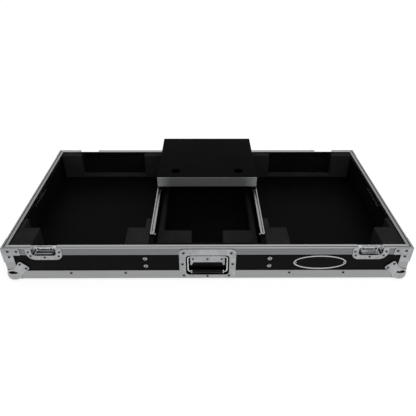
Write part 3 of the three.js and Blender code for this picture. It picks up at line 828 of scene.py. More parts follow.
def refine(
    node: str,
    ending: str,
    width: float,
    finishes: Sequence[Finish],
    body: str = "case",
    segments: int = 2,
    chosen: Callable[[BMFace], bool] | None = None,
) -> bpy.types.Object:
    """Makes the piece that stands for a CAD node: its copy with rounded edges.

    Args:
        node: the CAD node, which also names the piece.
        ending: what the piece's name adds to the node's.
        width: how far each bevel reaches from its edge.
        finishes: the piece's materials.
        body: the CAD body that it rides on.
        segments: the steps across each bevel.
        chosen: tells whether a face gets the second finish, where there is one.

    Returns:
        The new object.
    """
    shape = eased_copy(node, width, segments)
    if chosen is not None:
        painted(shape, chosen)
    return piece(f"{node}_{ending}", shape, finishes, body, [node])


def fasten(name: str, heads: BMesh, finish: Finish) -> None:
    """Makes one piece of a group of fasteners, whose hollows get painted shade."""
    piece(name, heads, [finish, HOLLOW_SHADE], "case")


def dress(node: str, finish: Finish) -> None:
    """Gives a CAD node that stays its finish.

    Args:
        node: the CAD node's name.
        finish: its only finish.
    """
    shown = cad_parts[node]
    shown.data.materials.clear()
    shown.data.materials.append(finish.material())
    log.info("%s keeps its shape and gets %s", node, finish.title)


@dataclass(frozen=True)
class Side:
    """One side of the case. In its own frame X runs along it, Y goes in from its face and Z is up."""

    name: str
    quarter_turns: int

    @property
    def reach(self) -> float:
        """How far this side's face is from the case's middle."""
        low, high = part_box(f"floor_angle_{self.name}")
        return (-low.y, high.x, high.y, -low.x)[self.quarter_turns]

    @property
    def turn(self) -> Matrix:
        """The turn from the front side's directions to this side's."""
        return Matrix.Rotation(self.quarter_turns * math.pi / 2, 4, "Z")

    @property
    def outwards(self) -> Vector:
        """The direction that this side faces."""
        return self.turn.to_3x3() @ Vector((0, -1, 0))

    def at(self, along: float, inwards: float, height: float) -> Vector:
        """A point of this side's frame, in the case's frame."""
        return self.turn @ Vector((along, inwards - self.reach, height))

    def matrix(self, along: float, inwards: float, height: float) -> Matrix:
        """The move of a shape from the origin to a point of this side."""
        return Matrix.Translation(self.at(along, inwards, height)) @ self.turn

    def fastener(self, along: float, inwards: float, height: float, roll: float = 0.0) -> Matrix:
        """The place of a fastener that faces out at a point of this side."""
        return facing(self.at(along, inwards, height), self.outwards, roll)


SIDES = tuple(Side(name, turns) for turns, name in enumerate(["front", "right", "back", "left"]))
FRONT, RIGHT, BACK, LEFT = SIDES
RIM_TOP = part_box("rim_left")[1].z
ANGLE_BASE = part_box("floor_angle_front")[0].z
# Each corner, with the factors of X and Y that mirror the front left one there
CORNERS = (("front_left", 1, 1), ("front_right", -1, 1), ("back_left", 1, -1), ("back_right", -1, -1))


def spun(profile: Sequence[tuple[float, float]], sides: int) -> BMesh:
    """A solid turned round Z from a profile of radius and height.

    Args:
        profile: the points from the axis, round the outside and back to the axis.
        sides: the steps of the full turn.

    Returns:
        The closed solid.
    """
    made = bmesh.new()
    corners = [made.verts.new((radius, 0, height)) for radius, height in profile]
    chain = [made.edges.new(pair) for pair in zip(corners, corners[1:])]
    bmesh.ops.spin(
        made,
        geom=[*corners, *chain],
        cent=(0, 0, 0),
        axis=(0, 0, 1),
        angle=2 * math.pi,
        steps=sides,
        use_merge=True,
    )
    bmesh.ops.remove_doubles(made, verts=made.verts, dist=MERGE_WIDTH)
    bmesh.ops.recalc_face_normals(made, faces=made.faces)
    return made


def box_shape(low: Sequence[float], high: Sequence[float]) -> BMesh:
    """A box to cut or trim with.

    Args:
        low: its corner of least X, Y and Z.
        high: its corner of greatest X, Y and Z.

    Returns:
        The closed solid.
    """
    made = bmesh.new()
    bmesh.ops.create_cube(made, size=1)
    middle = (Vector(low) + Vector(high)) / 2
    bmesh.ops.scale(made, verts=made.verts, vec=Vector(high) - Vector(low))
    bmesh.ops.translate(made, verts=made.verts, vec=middle)
    return made


@dataclass(frozen=True)
class Rivet:
    """A tubular rivet's head: a domed ring round a hollow with painted shade."""

    radius: float = 0.0044
    hollow: float = 0.0031
    height: float = 0.0011
    floor: float = 0.0002
    sunk: float = 0.0002
    sides: int = 18
    floor_share: float = 0.92
    lip_share: float = 0.86
    shoulder_share: float = 0.9
    shoulder_rise: float = 0.72

    def shape(self) -> BMesh:
        """The head on the plane Z = 0, with the second finish, painted shade, in its hollow.

        Returns:
            The closed solid.
        """
        profile = [
            (0.0, self.floor),
            (self.hollow * self.floor_share, self.floor),
            (self.hollow, self.height * self.lip_share),
            ((self.radius + self.hollow) / 2, self.height),
            (self.radius * self.shoulder_share, self.height * self.shoulder_rise),
            (self.radius, 0.0),
            (self.radius, -self.sunk),
            (0.0, -self.sunk),
        ]
        return painted(spun(profile, self.sides), self.in_hollow)

    def in_hollow(self, face: BMFace) -> bool:
        """Whether a face belongs to the hollow."""
        centre = face.calc_center_median()
        return centre.z > 0 and centre.xy.length < self.hollow


@dataclass(frozen=True)
class Screw:
    """A pan head screw with a cross recess."""

    radius: float
    height: float
    cross_half_length: float
    cross_half_width: float
    cross_depth: float = 0.0014
    sunk: float = 0.0003
    sides: int = 24
    dome_steps: int = 5
    rim_share: float = 0.35
    recess_margin: float = 0.0001
    floor_cosine: float = 0.9

    def shape(self) -> BMesh:
        """The head on the plane Z = 0, with the second finish, painted shade, on the recess's floor.

        Returns:
            The closed solid.
        """
        rim = self.height * self.rim_share
        angles = [math.pi / 2 * step / self.dome_steps for step in range(self.dome_steps + 1)]
        dome = [(self.radius * math.sin(a), rim + (self.height - rim) * math.cos(a)) for a in angles]
        head = spun([*dome, (self.radius, -self.sunk), (0.0, -self.sunk)], self.sides)
        base = self.height - self.cross_depth
        arm = (self.cross_half_length, self.cross_half_width)
        cuts = [box_shape((-x, -y, base), (x, y, 2 * self.height)) for x, y in (arm, arm[::-1])]
        return painted(combined(head, [(Join.CUT, cut) for cut in cuts]), self.in_recess)

    def in_recess(self, face: BMFace) -> bool:
        """Whether a face belongs to the recess's floor."""
        floor = self.height - self.cross_depth + self.recess_margin
        return face.calc_center_median().z < floor and face.normal.z > self.floor_cosine


@dataclass
class Boards:
    """The laminated boards: five sides, two dividers and the board behind the front handle."""

    edge: float = 0.0006
    bolt_along: float = 0.1755
    bolt_drops: Pair = (0.039, 0.066)
    # Roll rates, here and below, turn the recesses by radians to the metre, so that no two stand alike
    bolt_roll_rates: Pair = (40, 30)
    bolt: Screw = Screw(radius=0.0062, height=0.0026, cross_half_length=0.0036, cross_half_width=0.0009)
    screw_back: float = -0.221
    screw_drop: float = 0.0135
    screw_roll: float = 0.4
    screw: Screw = Screw(radius=0.0044, height=0.0034, cross_half_length=0.0022, cross_half_width=0.0005)

    def build(self) -> None:
        """Dresses the boards, and sets the bolts through the front and the screws in the dividers."""
        for side in SIDES:
            dress(f"{side.name}_board", LAMINATE)
        for node in ("floor_board", "divider_left", "divider_right"):
            # The inner boards get painted shade
            dress(node, SHADED_INNER_LAMINATE)
        inner = eased_copy("front_inner_board", self.edge)
        piece("front_inner_panel", inner, [SHADED_INNER_LAMINATE], "case", ["front_inner_board"])
        self.set_bolts()
        self.set_divider_screws()

    def set_bolts(self) -> None:
        """Two bolts, one above the other, at each side of the front handle."""
        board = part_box("front_board")[0].y + FRONT.reach
        places = []
        for along in (-self.bolt_along, self.bolt_along):
            for drop in self.bolt_drops:
                roll = along * self.bolt_roll_rates[0] + drop * self.bolt_roll_rates[1]
                places.append(FRONT.fastener(along, board, RIM_TOP - drop, roll))
        fasten("front_bolts", many(self.bolt.shape(), places), BOLT)

    def set_divider_screws(self) -> None:
        """A screw near the front of each divider, on the face towards the centre bay."""
        places = []
        for name, sign, edge in (("left", 1, 1), ("right", -1, 0)):
            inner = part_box(f"divider_{name}")[edge].x
            point = Vector((inner, self.screw_back, RIM_TOP - self.screw_drop))
            places.append(facing(point, Vector((sign, 0, 0)), self.screw_roll))
        fasten("divider_screws", many(self.screw.shape(), places), BRIGHT)


@dataclass
class Extrusions:
    """The aluminium: floor angles, corner angles and the grooved rim, with the rivets of the floor angles."""

    edge: float = 0.00045
    rim_edge: float = 0.00022
    rim_tone: float = 170
    # Painted shade: a darker tone on the side rims' tops, and a darker one again on every rim's scored face
    shaded_side_rim_tone: float = 140
    rim_face_shade_tone: float = 130
    rim_blue: float = 0.02
    lip_depth: float = 0.001
    groove_middle: float = 0.0055
    groove_reach: float = 0.0015
    rivet_rise: float = 0.021
    long_spots: tuple[float, ...] = (-0.391, -0.235, 0.235, 0.391)
    middle_spots: tuple[float, ...] = (-0.078, 0.078)
    short_spots: tuple[float, ...] = (-0.150, 0.150)
    rivet: Rivet = Rivet()

    def build(self) -> None:
        """Dresses every extrusion and rivets the floor angles."""
        for side in SIDES:
            finish = ALUMINIUM[Grain.ALONG_X if side in (FRONT, BACK) else Grain.ALONG_Y]
            refine(f"floor_angle_{side.name}", "extrusion", self.edge, [finish])
            self.set_rivets(side)
        upright = [ALUMINIUM[Grain.ALONG_Z]]
        for name, _, _ in CORNERS:
            refine(f"corner_angle_{name}", "extrusion", self.edge, upright)
        self.make_rim()

    def rim_finish(self, grain: Grain, tone: float) -> DrawnAluminium:
        """The rim's finish: light on its lips, with painted shade on its scored face below them."""
        tones = {"tone": tone, "shaded_lower_tone": self.rim_face_shade_tone, "shade_level": RIM_TOP - self.lip_depth}
        return DrawnAluminium(f"rim_{grain.name.lower()}", grain, **tones, blue=self.rim_blue)

    def in_groove(self, face: BMFace) -> bool:
        """Whether a face belongs to the floor or the walls of a side rim's groove, which get painted shade.

        Args:
            face: a face of the rim, in place.

        Returns:
            True for those faces.
        """
        centre = face.calc_center_median()
        inwards = RIGHT.reach - abs(centre.x)
        near = abs(inwards - self.groove_middle) < self.groove_reach
        return near and centre.z < RIM_TOP - self.rim_edge

    def make_rim(self) -> None:
        """Each stretch of the rim, with painted shade in the groove of those at the sides."""
        across = [f"rim_{end}_{part}" for end in ("front", "back") for part in ("left", "middle", "right")]
        plain = [self.rim_finish(Grain.ALONG_X, self.rim_tone)]
        for node in across:
            refine(node, "extrusion", self.rim_edge, plain)
        grooved = [self.rim_finish(Grain.ALONG_Y, self.shaded_side_rim_tone), GROOVE_SHADE]
        for node in ("rim_left", "rim_right"):
            refine(node, "extrusion", self.rim_edge, grooved, chosen=self.in_groove)

    def set_rivets(self, side: Side) -> None:
        """Rivets through both legs of a floor angle.

        Args:
            side: the side that the angle is on.
        """
        long_sides = {FRONT: self.long_spots, BACK: self.long_spots + self.middle_spots}
        places = []
        for along in long_sides.get(side, self.short_spots):
            places.append(side.fastener(along, 0, ANGLE_BASE + self.rivet_rise))
            places.append(facing(side.at(along, self.rivet_rise, ANGLE_BASE), DOWN))
        fasten(f"floor_angle_rivets_{side.name}", many(self.rivet.shape(), places), RIVET)


def curve_points(start: Vector, control: Vector, end: Vector, steps: int) -> list[Vector]:
    """The points of a quadratic curve after its start.

    Args:
        start: where it starts.
        control: what it is drawn towards.
        end: where it ends.
        steps: how many points it has.

    Returns:
        The points up to and with the end.
    """
    shares = [step / steps for step in range(1, steps + 1)]
    return [start * (1 - t) ** 2 + control * (2 * t * (1 - t)) + end * t**2 for t in shares]


@dataclass
class BallCorners:
    """Pressed ball corners: a hollow ball on the case's corner, and a shield shaped leaf on each face."""

    radius: float = 0.021
    wall: float = 0.0017
    leaf_thickness: float = 0.0015
    leaf_reach: float = 0.066
    seat: float = 0.0003
    edge: float = 0.0006
    fold: float = 0.0035
    fold_segments: int = 5
    trim: float = 0.00002
    fullness: float = 2.32
    ball_segments: int = 66
    ball_rings: int = 40
    curve_steps: int = 8
    root_share: float = 0.53
    flank_share: float = 0.33
    shoulder_shares: Pair = (0.89, 0.52)
    tip_shares: Pair = (1.01, 0.61)
    blunt_shares: Pair = (0.92, 0.70)
    rivet_spots: tuple[Pair, ...] = ((0.0395, 0.0545), (0.0545, 0.0395))
    rivet: Rivet = Rivet()

    @property
    def cycle(self) -> Matrix:
        """The third of a turn that takes X to Y, Y to Z and Z to X."""
        return Matrix(((0, 0, 1, 0), (1, 0, 0, 0), (0, 1, 0, 0), (0, 0, 0, 1)))

    def outline(self) -> list[Vector]:
        """The leaf's outline in its own plane.

        Returns:
            Its points, about the case's corner at the origin.
        """
        reach = self.leaf_reach
        foot = Vector((self.root_share * reach, 0))
        flank = Vector((foot.x, self.flank_share * reach))
        shares = (self.shoulder_shares, self.tip_shares, self.blunt_shares)
        shoulder, tip, blunt = (Vector(pair) * reach for pair in shares)
        half = [Vector((foot.x, -self.leaf_thickness)), foot]
        half += curve_points(foot, flank, shoulder, self.curve_steps)
        half += curve_points(shoulder, tip, blunt, self.curve_steps)
        corner = Vector((-self.leaf_thickness, -self.leaf_thickness))
        return [corner, *half, *[point.yx for point in reversed(half)]]

    def leaf(self) -> BMesh:
        """The leaf under the floor, with its outer edge eased.

        Returns:
            The closed solid.
        """
        made = bmesh.new()
        made.faces.new([made.verts.new((point.x, point.y, 0)) for point in self.outline()])
        lifted = bmesh.ops.extrude_face_region(made, geom=made.faces[:])
        under = [part for part in lifted["geom"] if isinstance(part, bmesh.types.BMVert)]
        bmesh.ops.translate(made, verts=under, vec=(0, 0, -self.leaf_thickness))
        bmesh.ops.recalc_face_normals(made, faces=made.faces)
        beyond = self.root_share * self.leaf_reach - self.edge
        outer = [edge for edge in made.edges if all(v.co.z < 0 and max(v.co.xy) > beyond for v in edge.verts)]
        return rounded(made, outer, self.edge)

    def ball(self, radius: float, inset: float) -> BMesh:
        """A ball a little fuller than a round one between its axes, and so towards the case's corner.

        Args:
            radius: its reach along each axis.
            inset: how far its centre is from each of the three faces.

        Returns:
            The closed solid.
        """
        made = bmesh.new()
        counts = {"u_segments": self.ball_segments, "v_segments": self.ball_rings}
        bmesh.ops.create_uvsphere(made, radius=radius, **counts)
        moved(made, Vector((1, 1, 1)).to_track_quat("Z", "Y").to_matrix().to_4x4())
        for vertex in made.verts:
            way = vertex.co.normalized()
            vertex.co *= sum(abs(part) ** self.fullness for part in way) ** (-1 / self.fullness)
        return moved(made, Matrix.Translation((inset,) * 3))

    def folded_block(self) -> BMesh:
        """A block as large as the three leaves together, with the folds between them rounded.

        Returns:
            The closed solid.
        """
        made = box_shape((-self.leaf_thickness - self.trim,) * 3, (2 * self.leaf_reach,) * 3)
        nose = min(made.verts, key=lambda vertex: sum(vertex.co))
        return rounded(made, nose.link_edges, self.fold, self.fold_segments)

    def corner(self, inset: float) -> BMesh:
        """The whole pressing, for a case that fills the octant of positive X, Y and Z.

        Args:
            inset: how far the ball's centre is from each of the three faces.

        Returns:
            The closed solid.
        """
        leaves = [self.leaf() for _ in range(3)]
        for turns, leaf in enumerate(leaves):
            for _ in range(turns):
                moved(leaf, self.cycle)
        outside = self.ball(self.radius, inset)
        inside = self.ball(self.radius - self.wall, inset)
        case = box_shape((-self.seat,) * 3, (3 * self.leaf_reach,) * 3)
        changes = [(Join.WELD, leaves[1]), (Join.WELD, leaves[2]), (Join.TRIM, self.folded_block())]
        changes += [(Join.WELD, outside), (Join.CUT, inside), (Join.CUT, case)]
        return combined(leaves[0], changes)

    def rivets(self) -> BMesh:
        """Two rivets on each leaf.

        Returns:
            The rivets of one corner in one bmesh.
        """
        spots = [facing(Vector((*spot, -self.leaf_thickness)), DOWN) for spot in self.rivet_spots]
        twice = self.cycle @ self.cycle
        places = [turn @ spot for turn in (Matrix.Identity(4), self.cycle, twice) for spot in spots]
        return many(self.rivet.shape(), places)

    def build(self) -> None:
        """A pressing with its rivets on every corner."""
        place = Matrix.Translation((-RIGHT.reach, -FRONT.reach, ANGLE_BASE))
        pressing = moved(self.corner(self.radius - ANGLE_BASE), place)
        rivets = moved(self.rivets(), place)
        for name, x, y in CORNERS:
            node = f"ball_corner_{name}"
            piece(f"{node}_pressing", mirrored(pressing, x, y), [POLISHED], "case", [node])
            fasten(f"{node}_rivets", mirrored(rivets, x, y), RIVET)
        pressing.free()
        rivets.free()


@dataclass
class RimBrackets:
    """Pressed brackets that wrap the corners of the rim."""

    edge: float = 0.0005
    rivet_spots: tuple[Pair, ...] = ((0.0174, 0.0100), (0.0410, 0.0100), (0.0173, 0.0298))
    rivet: Rivet = Rivet()

    def build(self) -> None:
        """A bracket on every corner, with three rivets on each face."""
        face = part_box("rim_bracket_front_left")[0].y + FRONT.reach
        places = []
        for along, drop in self.rivet_spots:
            places.append(FRONT.fastener(along - RIGHT.reach, face, RIM_TOP - drop))
            places.append(LEFT.fastener(FRONT.reach - along, face, RIM_TOP - drop))
        rivets = many(self.rivet.shape(), places)
        for name, x, y in CORNERS:
            node = f"rim_bracket_{name}"
            refine(node, "pressing", self.edge, [PRESSED])
            fasten(f"{node}_rivets", mirrored(rivets, x, y), RIVET)
        rivets.free()


@dataclass
class LatchDishes:
    """Half dishes with keepers for the lid's latches."""

    edge: float = 0.0004
    flange_spots: tuple[Pair, ...] = (
        (0.0, 0.0310),
        (0.0435, 0.0125),
        (0.0395, 0.0268),
        (-0.0430, 0.0120),
        (-0.0382, 0.0258),
    )
    keeper_spots: Pair = (-0.0175, 0.0175)
    keeper_drop: float = 0.0108
    keeper_depth: float = 0.010
    pocket_from: float = 0.0008
    rivet: Rivet = Rivet(radius=0.0038, hollow=0.0026)

    def in_pocket(self, face: BMFace) -> bool:
        """Whether a face belongs to the pocket or the keeper, which get painted light and painted glints."""
        return FRONT.reach - abs(face.calc_center_median().y) > self.pocket_from

    def build(self) -> None:
        """A dish on every place, with rivets in its flange and its keeper."""
        low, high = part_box("latch_dish_front_left")
        centre = (low.x + high.x) / 2
        spots = [(along, low.y + FRONT.reach, drop) for along, drop in self.flange_spots]
        spots += [(along, self.keeper_depth, self.keeper_drop) for along in self.keeper_spots]
        places = [FRONT.fastener(centre + along, inwards, RIM_TOP - drop) for along, inwards, drop in spots]
        rivets = many(self.rivet.shape(), places)
        for name, x, y in CORNERS:
            node = f"latch_dish_{name}"
            # The pocket's faces get painted light
            refine(node, "pressing", self.edge, [PRESSED, LIT_POCKET], chosen=self.in_pocket)
            fasten(f"{node}_rivets", mirrored(rivets, x, y), RIVET)
        rivets.free()


@dataclass
class Handles:
    """Recessed handles: a flanged dish with a hinge plate, and a sprung bail with a rubber grip."""

    edge: float = 0.0005
    span: float = 0.112
    drop: float = 0.056
    rod: float = 0.006
    bend: float = 0.009
    stub: float = 0.012
    axis_depth: float = 0.004
    axis_rise: float = 0.0235
    collar_radius: float = 0.006
    collar_width: float = 0.0037
    collar_softness: float = 0.45
    grip_radius: float = 0.007
    grip_width: float = 0.086
    grip_waist: float = 0.0012
    grip_rounding: float = 0.003
    grip_round_steps: int = 5
    grip_body_steps: int = 16
    gap: float = 0.0003
    rod_sides: int = 20
    bend_steps: int = 8
    flange_spots: tuple[Pair, ...] = (
        (-0.0672, 0.0392),
        (0.0660, 0.0392),
        (-0.0710, -0.0008),
        (0.0710, -0.0008),
        (0.0, -0.0460),
        (-0.0680, -0.0440),
        (0.0620, -0.0440),
    )
    flange_face: float = -0.0018
    plate_face: float = -0.0011
    plate_half: float = 0.0487
    plate_low: float = -0.0046
    plate_foot: float = 0.0220
    plate_high: float = 0.0281
    fold_cosine: float = 0.7
    opening_half: float = 0.0619
    opening_low: float = -0.0414
    opening_high: float = 0.0314
    pan_from: float = -0.0010
    fold_from: float = -0.00175
    plate_screws: Triple = (-0.041, 0.0, 0.040)
    plate_screw_rise: float = 0.0170
    roll_rate: float = 50
    screw: Screw = Screw(
        radius=0.0034,
        height=0.0013,
        cross_half_length=0.0019,
        cross_half_width=0.0005,
        cross_depth=0.0008,
    )
    rivet: Rivet = Rivet()

    def bail(self) -> BMesh:
        """The bent rod with its two collars, hung from its axis at the origin.

        Returns:
            The rod and the collars in one bmesh.
        """
        made = bmesh.new()
        bmesh.ops.create_circle(made, segments=self.rod_sides, radius=self.rod / 2)
        here, heading = Vector((-self.span / 2 + self.bend + self.stub, 0, 0)), Vector((-1, 0, 0))
        moved(made, Matrix.Translation(here) @ LYING)
        ring: list[object] = [*made.verts, *made.edges]
        arm = self.drop - 2 * self.bend
        bar = self.span - 2 * self.bend
        for length in (self.stub, arm, bar, arm):
            ring = self.straight(made, ring, heading * length)
            inwards = Vector((-heading.z, 0, heading.x))
            centre = here + heading * length + inwards * self.bend
            ring = self.turned(made, ring, centre)
            here = centre + heading * self.bend
            heading = inwards
        self.straight(made, ring, heading * self.stub)
        bmesh.ops.remove_doubles(made, verts=made.verts, dist=MERGE_WIDTH)
        bmesh.ops.holes_fill(made, edges=[edge for edge in made.edges if edge.is_boundary], sides=0)
        bmesh.ops.recalc_face_normals(made, faces=made.faces)
        aside = (self.grip_width + self.collar_width) / 2 + self.gap
        places = [Matrix.Translation((along, 0, -self.drop)) @ LYING for along in (-aside, aside)]
        return together([made, many(self.collar(), places)])

    def straight(self, made: BMesh, ring: Sequence[object], offset: Vector) -> list[object]:
        """Draws a ring of the rod along a straight."""
        sweep = {"axis": (0, 1, 0), "dvec": offset, "angle": 0, "steps": 1}
        return bmesh.ops.spin(made, geom=ring, cent=(0, 0, 0), **sweep)["geom_last"]

    def turned(self, made: BMesh, ring: Sequence[object], centre: Vector) -> list[object]:
        """Draws a ring of the rod round a quarter bend."""
        sweep = {"axis": (0, 1, 0), "angle": -math.pi / 2, "steps": self.bend_steps}
        return bmesh.ops.spin(made, geom=ring, cent=centre, **sweep)["geom_last"]

    def collar(self) -> BMesh:
        """A washer with softened edges.

        Returns:
            The closed solid, turned round Z.
        """
        half = self.collar_width / 2
        bore = self.rod / 2 - self.gap
        soft = half * self.collar_softness
        outer = self.collar_radius
        profile = [(bore, -half), (outer - soft, -half), (outer, -half + soft), (outer, half - soft)]
        profile += [(outer - soft, half), (bore, half), (bore, -half)]
        return spun(profile, 2 * self.rod_sides)

    def grip(self) -> BMesh:
        """The rubber sleeve with a waist, round the bail's lower bar.

        Returns:
            The closed solid.
        """
        half = self.grip_width / 2
        end = [(self.rod / 2 + self.gap, -half)]
        for step in range(self.grip_round_steps + 1):
            angle = math.pi / 2 * step / self.grip_round_steps
            out = self.grip_radius - self.grip_rounding * (1 - math.sin(angle))
            end.append((out, -half + self.grip_rounding * (1 - math.cos(angle))))
        shoulder = half - self.grip_rounding
        body = []
        for step in range(1, self.grip_body_steps):
            along = -shoulder + 2 * shoulder * step / self.grip_body_steps
            waist = self.grip_waist * (1 - (along / shoulder) ** 2)
            body.append((self.grip_radius - waist, along))
        other_end = [(out, -along) for out, along in reversed(end)]
        sleeve = spun([*end, *body, *other_end, end[0]], 2 * self.rod_sides)
        return moved(sleeve, Matrix.Translation((0, 0, -self.drop)) @ LYING)

    def build(self) -> None:
        """A handle on the front and on both ends."""
        for side in (FRONT, LEFT, RIGHT):
            self.build_on(side)

    def in_pan(self, face: BMFace, side: Side, centre: float) -> bool:
        """Whether a face belongs to the pan, its fold or the hinge plate's upper edge, which get painted
        shade.

        Args:
            face: a face of the dish, in place.
            side: the side that carries it.
            centre: the height of the dish's middle.

        Returns:
            True for those faces, and False for the flange and the rest of the hinge plate.
        """
        spot = side.turn.inverted() @ face.calc_center_median()
        rise = spot.z - centre
        in_opening = abs(spot.x) < self.opening_half and self.opening_low < rise < self.opening_high
        on_plate = abs(spot.x) < self.plate_half and self.plate_low < rise < self.plate_high
        deep = spot.y + side.reach > (self.pan_from if on_plate else self.fold_from)
        upper_plate = on_plate and rise > self.plate_foot and face.normal.z < self.fold_cosine
        return in_opening and deep and not upper_plate

    def build_on(self, side: Side) -> None:
        """One handle.

        Args:
            side: the side that carries it.
        """
        dish = f"handle_dish_{side.name}"
        low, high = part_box(dish)
        centre = (low.z + high.z) / 2
        chosen = partial(self.in_pan, side=side, centre=centre)
        # The pan's faces get painted shade
        refine(dish, "pressing", self.edge, [PRESSED, PAN_SHADE], chosen=chosen)
        flange = [side.fastener(along, self.flange_face, centre + rise) for along, rise in self.flange_spots]
        fasten(f"{dish}_rivets", many(self.rivet.shape(), flange), RIVET)
        level = centre + self.plate_screw_rise
        plate = [side.fastener(x, self.plate_face, level, x * self.roll_rate) for x in self.plate_screws]
        fasten(f"{dish}_screws", many(self.screw.shape(), plate), SCREW)
        place = side.matrix(0, self.axis_depth, centre + self.axis_rise)
        for part, shape, finish, slot in (
            ("bail", self.bail(), BRIGHT, "zinc_steel"),
            ("grip", self.grip(), GRIP, "grip_rubber"),
        ):
            node = f"handle_{part}_{side.name}"
            piece(f"{node}_made", moved(shape, place), [finish], f"{side.name}_handle", [node])


@dataclass
class OvalPlate:
    """The bare oval plate at the right of the front, with a rivet at each end."""

    rim_width: float = 0.004
    edge: float = 0.00025
    rivet_inset: float = 0.0052
    rivet: Rivet = Rivet(radius=0.0040, hollow=0.0021, sunk=0.0010)

    def build(self) -> None:
        """The plate and its two rivets."""
        low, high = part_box("oval_plate")
        middle = (low + high) / 2
        half = (high - low) / 2
        inner = (half.x - self.rim_width, half.z - self.rim_width)
        finish = OvalPlateFinish("oval_plate_finish", tuple(middle), *inner)
        refine("oval_plate", "pressing", self.edge, [finish])
        ends = [middle.x + sign * (half.x - self.rivet_inset) for sign in (-1, 1)]
        places = [facing(Vector((x, low.y, middle.z)), FRONT.outwards) for x in ends]
        fasten("oval_plate_rivets", many(self.rivet.shape(), places), BRIGHT)


@dataclass
class BayFoam:
    """Foam blocks and pads in the bays, with soft edges."""

    edge: float = 0.0035
    edge_segments: int = 4
    firmness: float = 1.0

    def build(self) -> None:
        """Every block and pad."""
        kinds = ("deck_block_inner", "deck_block_outer", "deck_block_rear", "mixer_pad")
        for node in [f"{kind}_{end}" for kind in kinds for end in ("left", "right")]:
            made = refine(node, "foam", self.edge, [FOAM], segments=self.edge_segments)


@dataclass
class GlideRails:
    """Rails with a T slot on the dividers, and the screws on the slot's floor."""

    edge: float = 0.0003
    slot_floor: float = 0.0018
    screw_pitch: float = 0.120
    first_screw: float = 0.030
    roll_rate: float = 9
    screw: Screw = Screw(
        radius=0.0031,
        height=0.0012,
        cross_half_length=0.0017,
        cross_half_width=0.00045,
        cross_depth=0.0007,
    )

    def build(self) -> None:
        """Both rails with their screws."""
        for node in ("glide_rail_left", "glide_rail_right"):
            low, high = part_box(node)
            refine(node, "extrusion", self.edge, [ALUMINIUM[Grain.ALONG_Y]])
            count = int((high.y - low.y - self.first_screw) / self.screw_pitch) + 1
            middle = (low.x + high.x) / 2
            rows = [low.y + self.first_screw + self.screw_pitch * index for index in range(count)]
            floor = low.z + self.slot_floor
            places = [facing(Vector((middle, y, floor)), UP, y * self.roll_rate) for y in rows]
            fasten(f"{node}_screws", many(self.screw.shape(), places), BRIGHT)


@dataclass
class LaptopPlatform:
    """The gliding platform: a board, a brushed strip across its front and two box runners."""

    body: str = "laptop_platform"
    board_edge: float = 0.0008
    metal_edge: float = 0.0003

    def build(self) -> None:
        """The platform's four pieces."""
        refine("laptop_platform", "panel", self.board_edge, [PLATFORM_LAMINATE], self.body)
        strip = "platform_front_strip"
        drawn = ALUMINIUM[Grain.ALONG_Y]
        brushed = BrushedStrip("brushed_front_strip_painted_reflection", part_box(strip)[1].x)
        metal = {strip: brushed, "platform_runner_left": drawn, "platform_runner_right": drawn}
        for node, finish in metal.items():
            refine(node, "extrusion", self.metal_edge, [finish], self.body)


# The rays that see the bright floor and background
SEEN_RAYS = ("Camera", "Glossy", "Transmission")


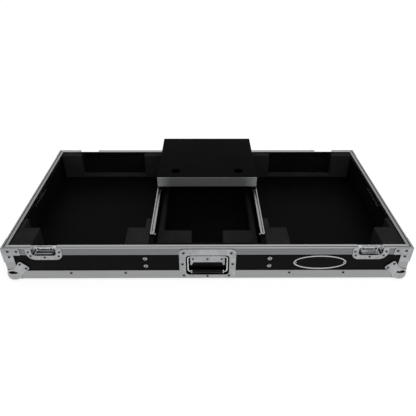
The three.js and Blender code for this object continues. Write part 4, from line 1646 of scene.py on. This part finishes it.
@dataclass
class Studio:
    """A white sweep with soft light, and the camera of the photograph."""

    camera_place: Triple = (-0.0066, -1.2199, 0.8803)
    pitch: float = math.radians(34.23)
    yaw: float = 0.008
    roll: float = 0.003
    lens: float = 37.305
    clip_end: float = 100
    floor_half: float = 20.0
    sky: float = 0.62
    key_power: float = 16.0
    key_size: float = 2.2
    key_place: Triple = (0.5, -1.3, 2.3)
    flag_radius: float = 2.4
    flag_foot: float = 0.10
    flag_top: float = 5.0
    flag_sweep: float = math.radians(240)
    flag_steps: int = 32
    flag_tone: float = 20
    floor_albedo: float = 0.35
    floor_glow: float = 0.79

    def build(self) -> None:
        """Camera, floor, world, lamp and the dark flag behind the camera."""
        self.make_camera()
        self.make_floor()
        self.make_world()
        self.make_key()
        self.make_flag()

    def make_camera(self) -> None:
        """The camera, by its pitch, yaw and roll."""
        flat = math.cos(self.pitch)
        ahead = Vector((math.sin(self.yaw) * flat, math.cos(self.yaw) * flat, -math.sin(self.pitch)))
        right = Vector((math.cos(self.yaw), -math.sin(self.yaw), 0))
        up = right.cross(ahead)
        level = right * math.cos(self.roll) + up * math.sin(self.roll)
        upright = up * math.cos(self.roll) - right * math.sin(self.roll)
        data = bpy.data.cameras.new("photo_camera")
        data.lens = self.lens
        data.clip_end = self.clip_end
        camera = bpy.data.objects.new("photo_camera", data)
        turn = Matrix((level, upright, -ahead)).transposed()
        camera.matrix_world = Matrix.Translation(self.camera_place) @ turn.to_4x4()
        bpy.context.scene.collection.objects.link(camera)
        bpy.context.scene.camera = camera

    def seen(self, recipe: Recipe) -> Wire:
        """One for camera, glossy and transmission rays, and zero for the rest."""
        kinds = [recipe.node("ShaderNodeLightPath", output=f"Is {kind} Ray") for kind in SEEN_RAYS]
        return sum(kinds[1:], start=kinds[0]).step(0.0, 1.0)

    def make_floor(self) -> None:
        """A white floor that keeps the case's shadow."""
        shape = bmesh.new()
        bmesh.ops.create_grid(shape, x_segments=1, y_segments=1, size=self.floor_half)
        floor = loose_object("floor", shape)
        material = bpy.data.materials.new("white_sweep")
        material.use_nodes = True
        recipe = Recipe(material.node_tree)
        albedo = (self.floor_albedo,) * 3 + (1.0,)
        matt = recipe.node("ShaderNodeBsdfDiffuse", None, {"Color": albedo})
        glow = recipe.node("ShaderNodeEmission", None, {"Color": (1, 1, 1, 1), "Strength": self.floor_glow})
        lit = recipe.node("ShaderNodeAddShader", None, {0: matt, 1: glow})
        recipe.finish(recipe.node("ShaderNodeMixShader", None, {0: self.seen(recipe), 1: matt, 2: lit}))
        floor.data.materials.append(material)

    def make_world(self) -> None:
        """A white background that lights the case more softly than it shows."""
        world = bpy.data.worlds.new("white_studio")
        world.use_nodes = True
        recipe = Recipe(world.node_tree)
        dim = recipe.node("ShaderNodeBackground", None, {"Color": (1, 1, 1, 1), "Strength": self.sky})
        white = recipe.node("ShaderNodeBackground", None, {"Color": (1, 1, 1, 1), "Strength": 1.0})
        shown = recipe.node("ShaderNodeMixShader", None, {0: self.seen(recipe), 1: dim, 2: white})
        recipe.finish(shown, "ShaderNodeOutputWorld")
        bpy.context.scene.world = world

    def make_key(self) -> None:
        """A large soft lamp above the front."""
        data = bpy.data.lights.new("key", "AREA")
        data.energy = self.key_power
        data.size = self.key_size
        lamp = bpy.data.objects.new("key", data)
        lamp.location = self.key_place
        lamp.rotation_euler = (-Vector(self.key_place)).to_track_quat("-Z", "Y").to_euler()
        bpy.context.scene.collection.objects.link(lamp)

    def make_flag(self) -> None:
        """A dark curved flag round the front, which only shows in polished metal."""
        shape = bmesh.new()
        ends = [shape.verts.new((0, -self.flag_radius, level)) for level in (self.flag_foot, self.flag_top)]
        line = [*ends, shape.edges.new(ends)]
        start = Matrix.Rotation(-self.flag_sweep / 2, 3, "Z")
        bmesh.ops.rotate(shape, verts=ends, cent=(0, 0, 0), matrix=start)
        sweep = {"angle": self.flag_sweep, "steps": self.flag_steps}
        bmesh.ops.spin(shape, geom=line, cent=(0, 0, 0), axis=(0, 0, 1), **sweep)
        flag = loose_object("dark_flag", shape)
        flag.visible_camera = False
        flag.visible_diffuse = False
        flag.visible_shadow = False
        flag.visible_transmission = False
        material = bpy.data.materials.new("dark_flag")
        material.use_nodes = True
        recipe = Recipe(material.node_tree)
        recipe.finish(recipe.node("ShaderNodeBsdfDiffuse", None, {"Color": grey(self.flag_tone)}))
        flag.data.materials.append(material)


def main() -> None:
    """Builds the studio and every sub-assembly in order."""
    logging.basicConfig(level=logging.INFO, format="%(message)s")
    bpy.context.scene.view_settings.view_transform = "Standard"
    assemblies = [
        Studio(),
        Boards(),
        Extrusions(),
        BallCorners(),
        RimBrackets(),
        LatchDishes(),
        Handles(),
        OvalPlate(),
        BayFoam(),
        GlideRails(),
        LaptopPlatform(),
    ]
    for assembly in assemblies:
        log.info("building %s", type(assembly).__name__)
        assembly.build()


if __name__ == "__main__":
    main()
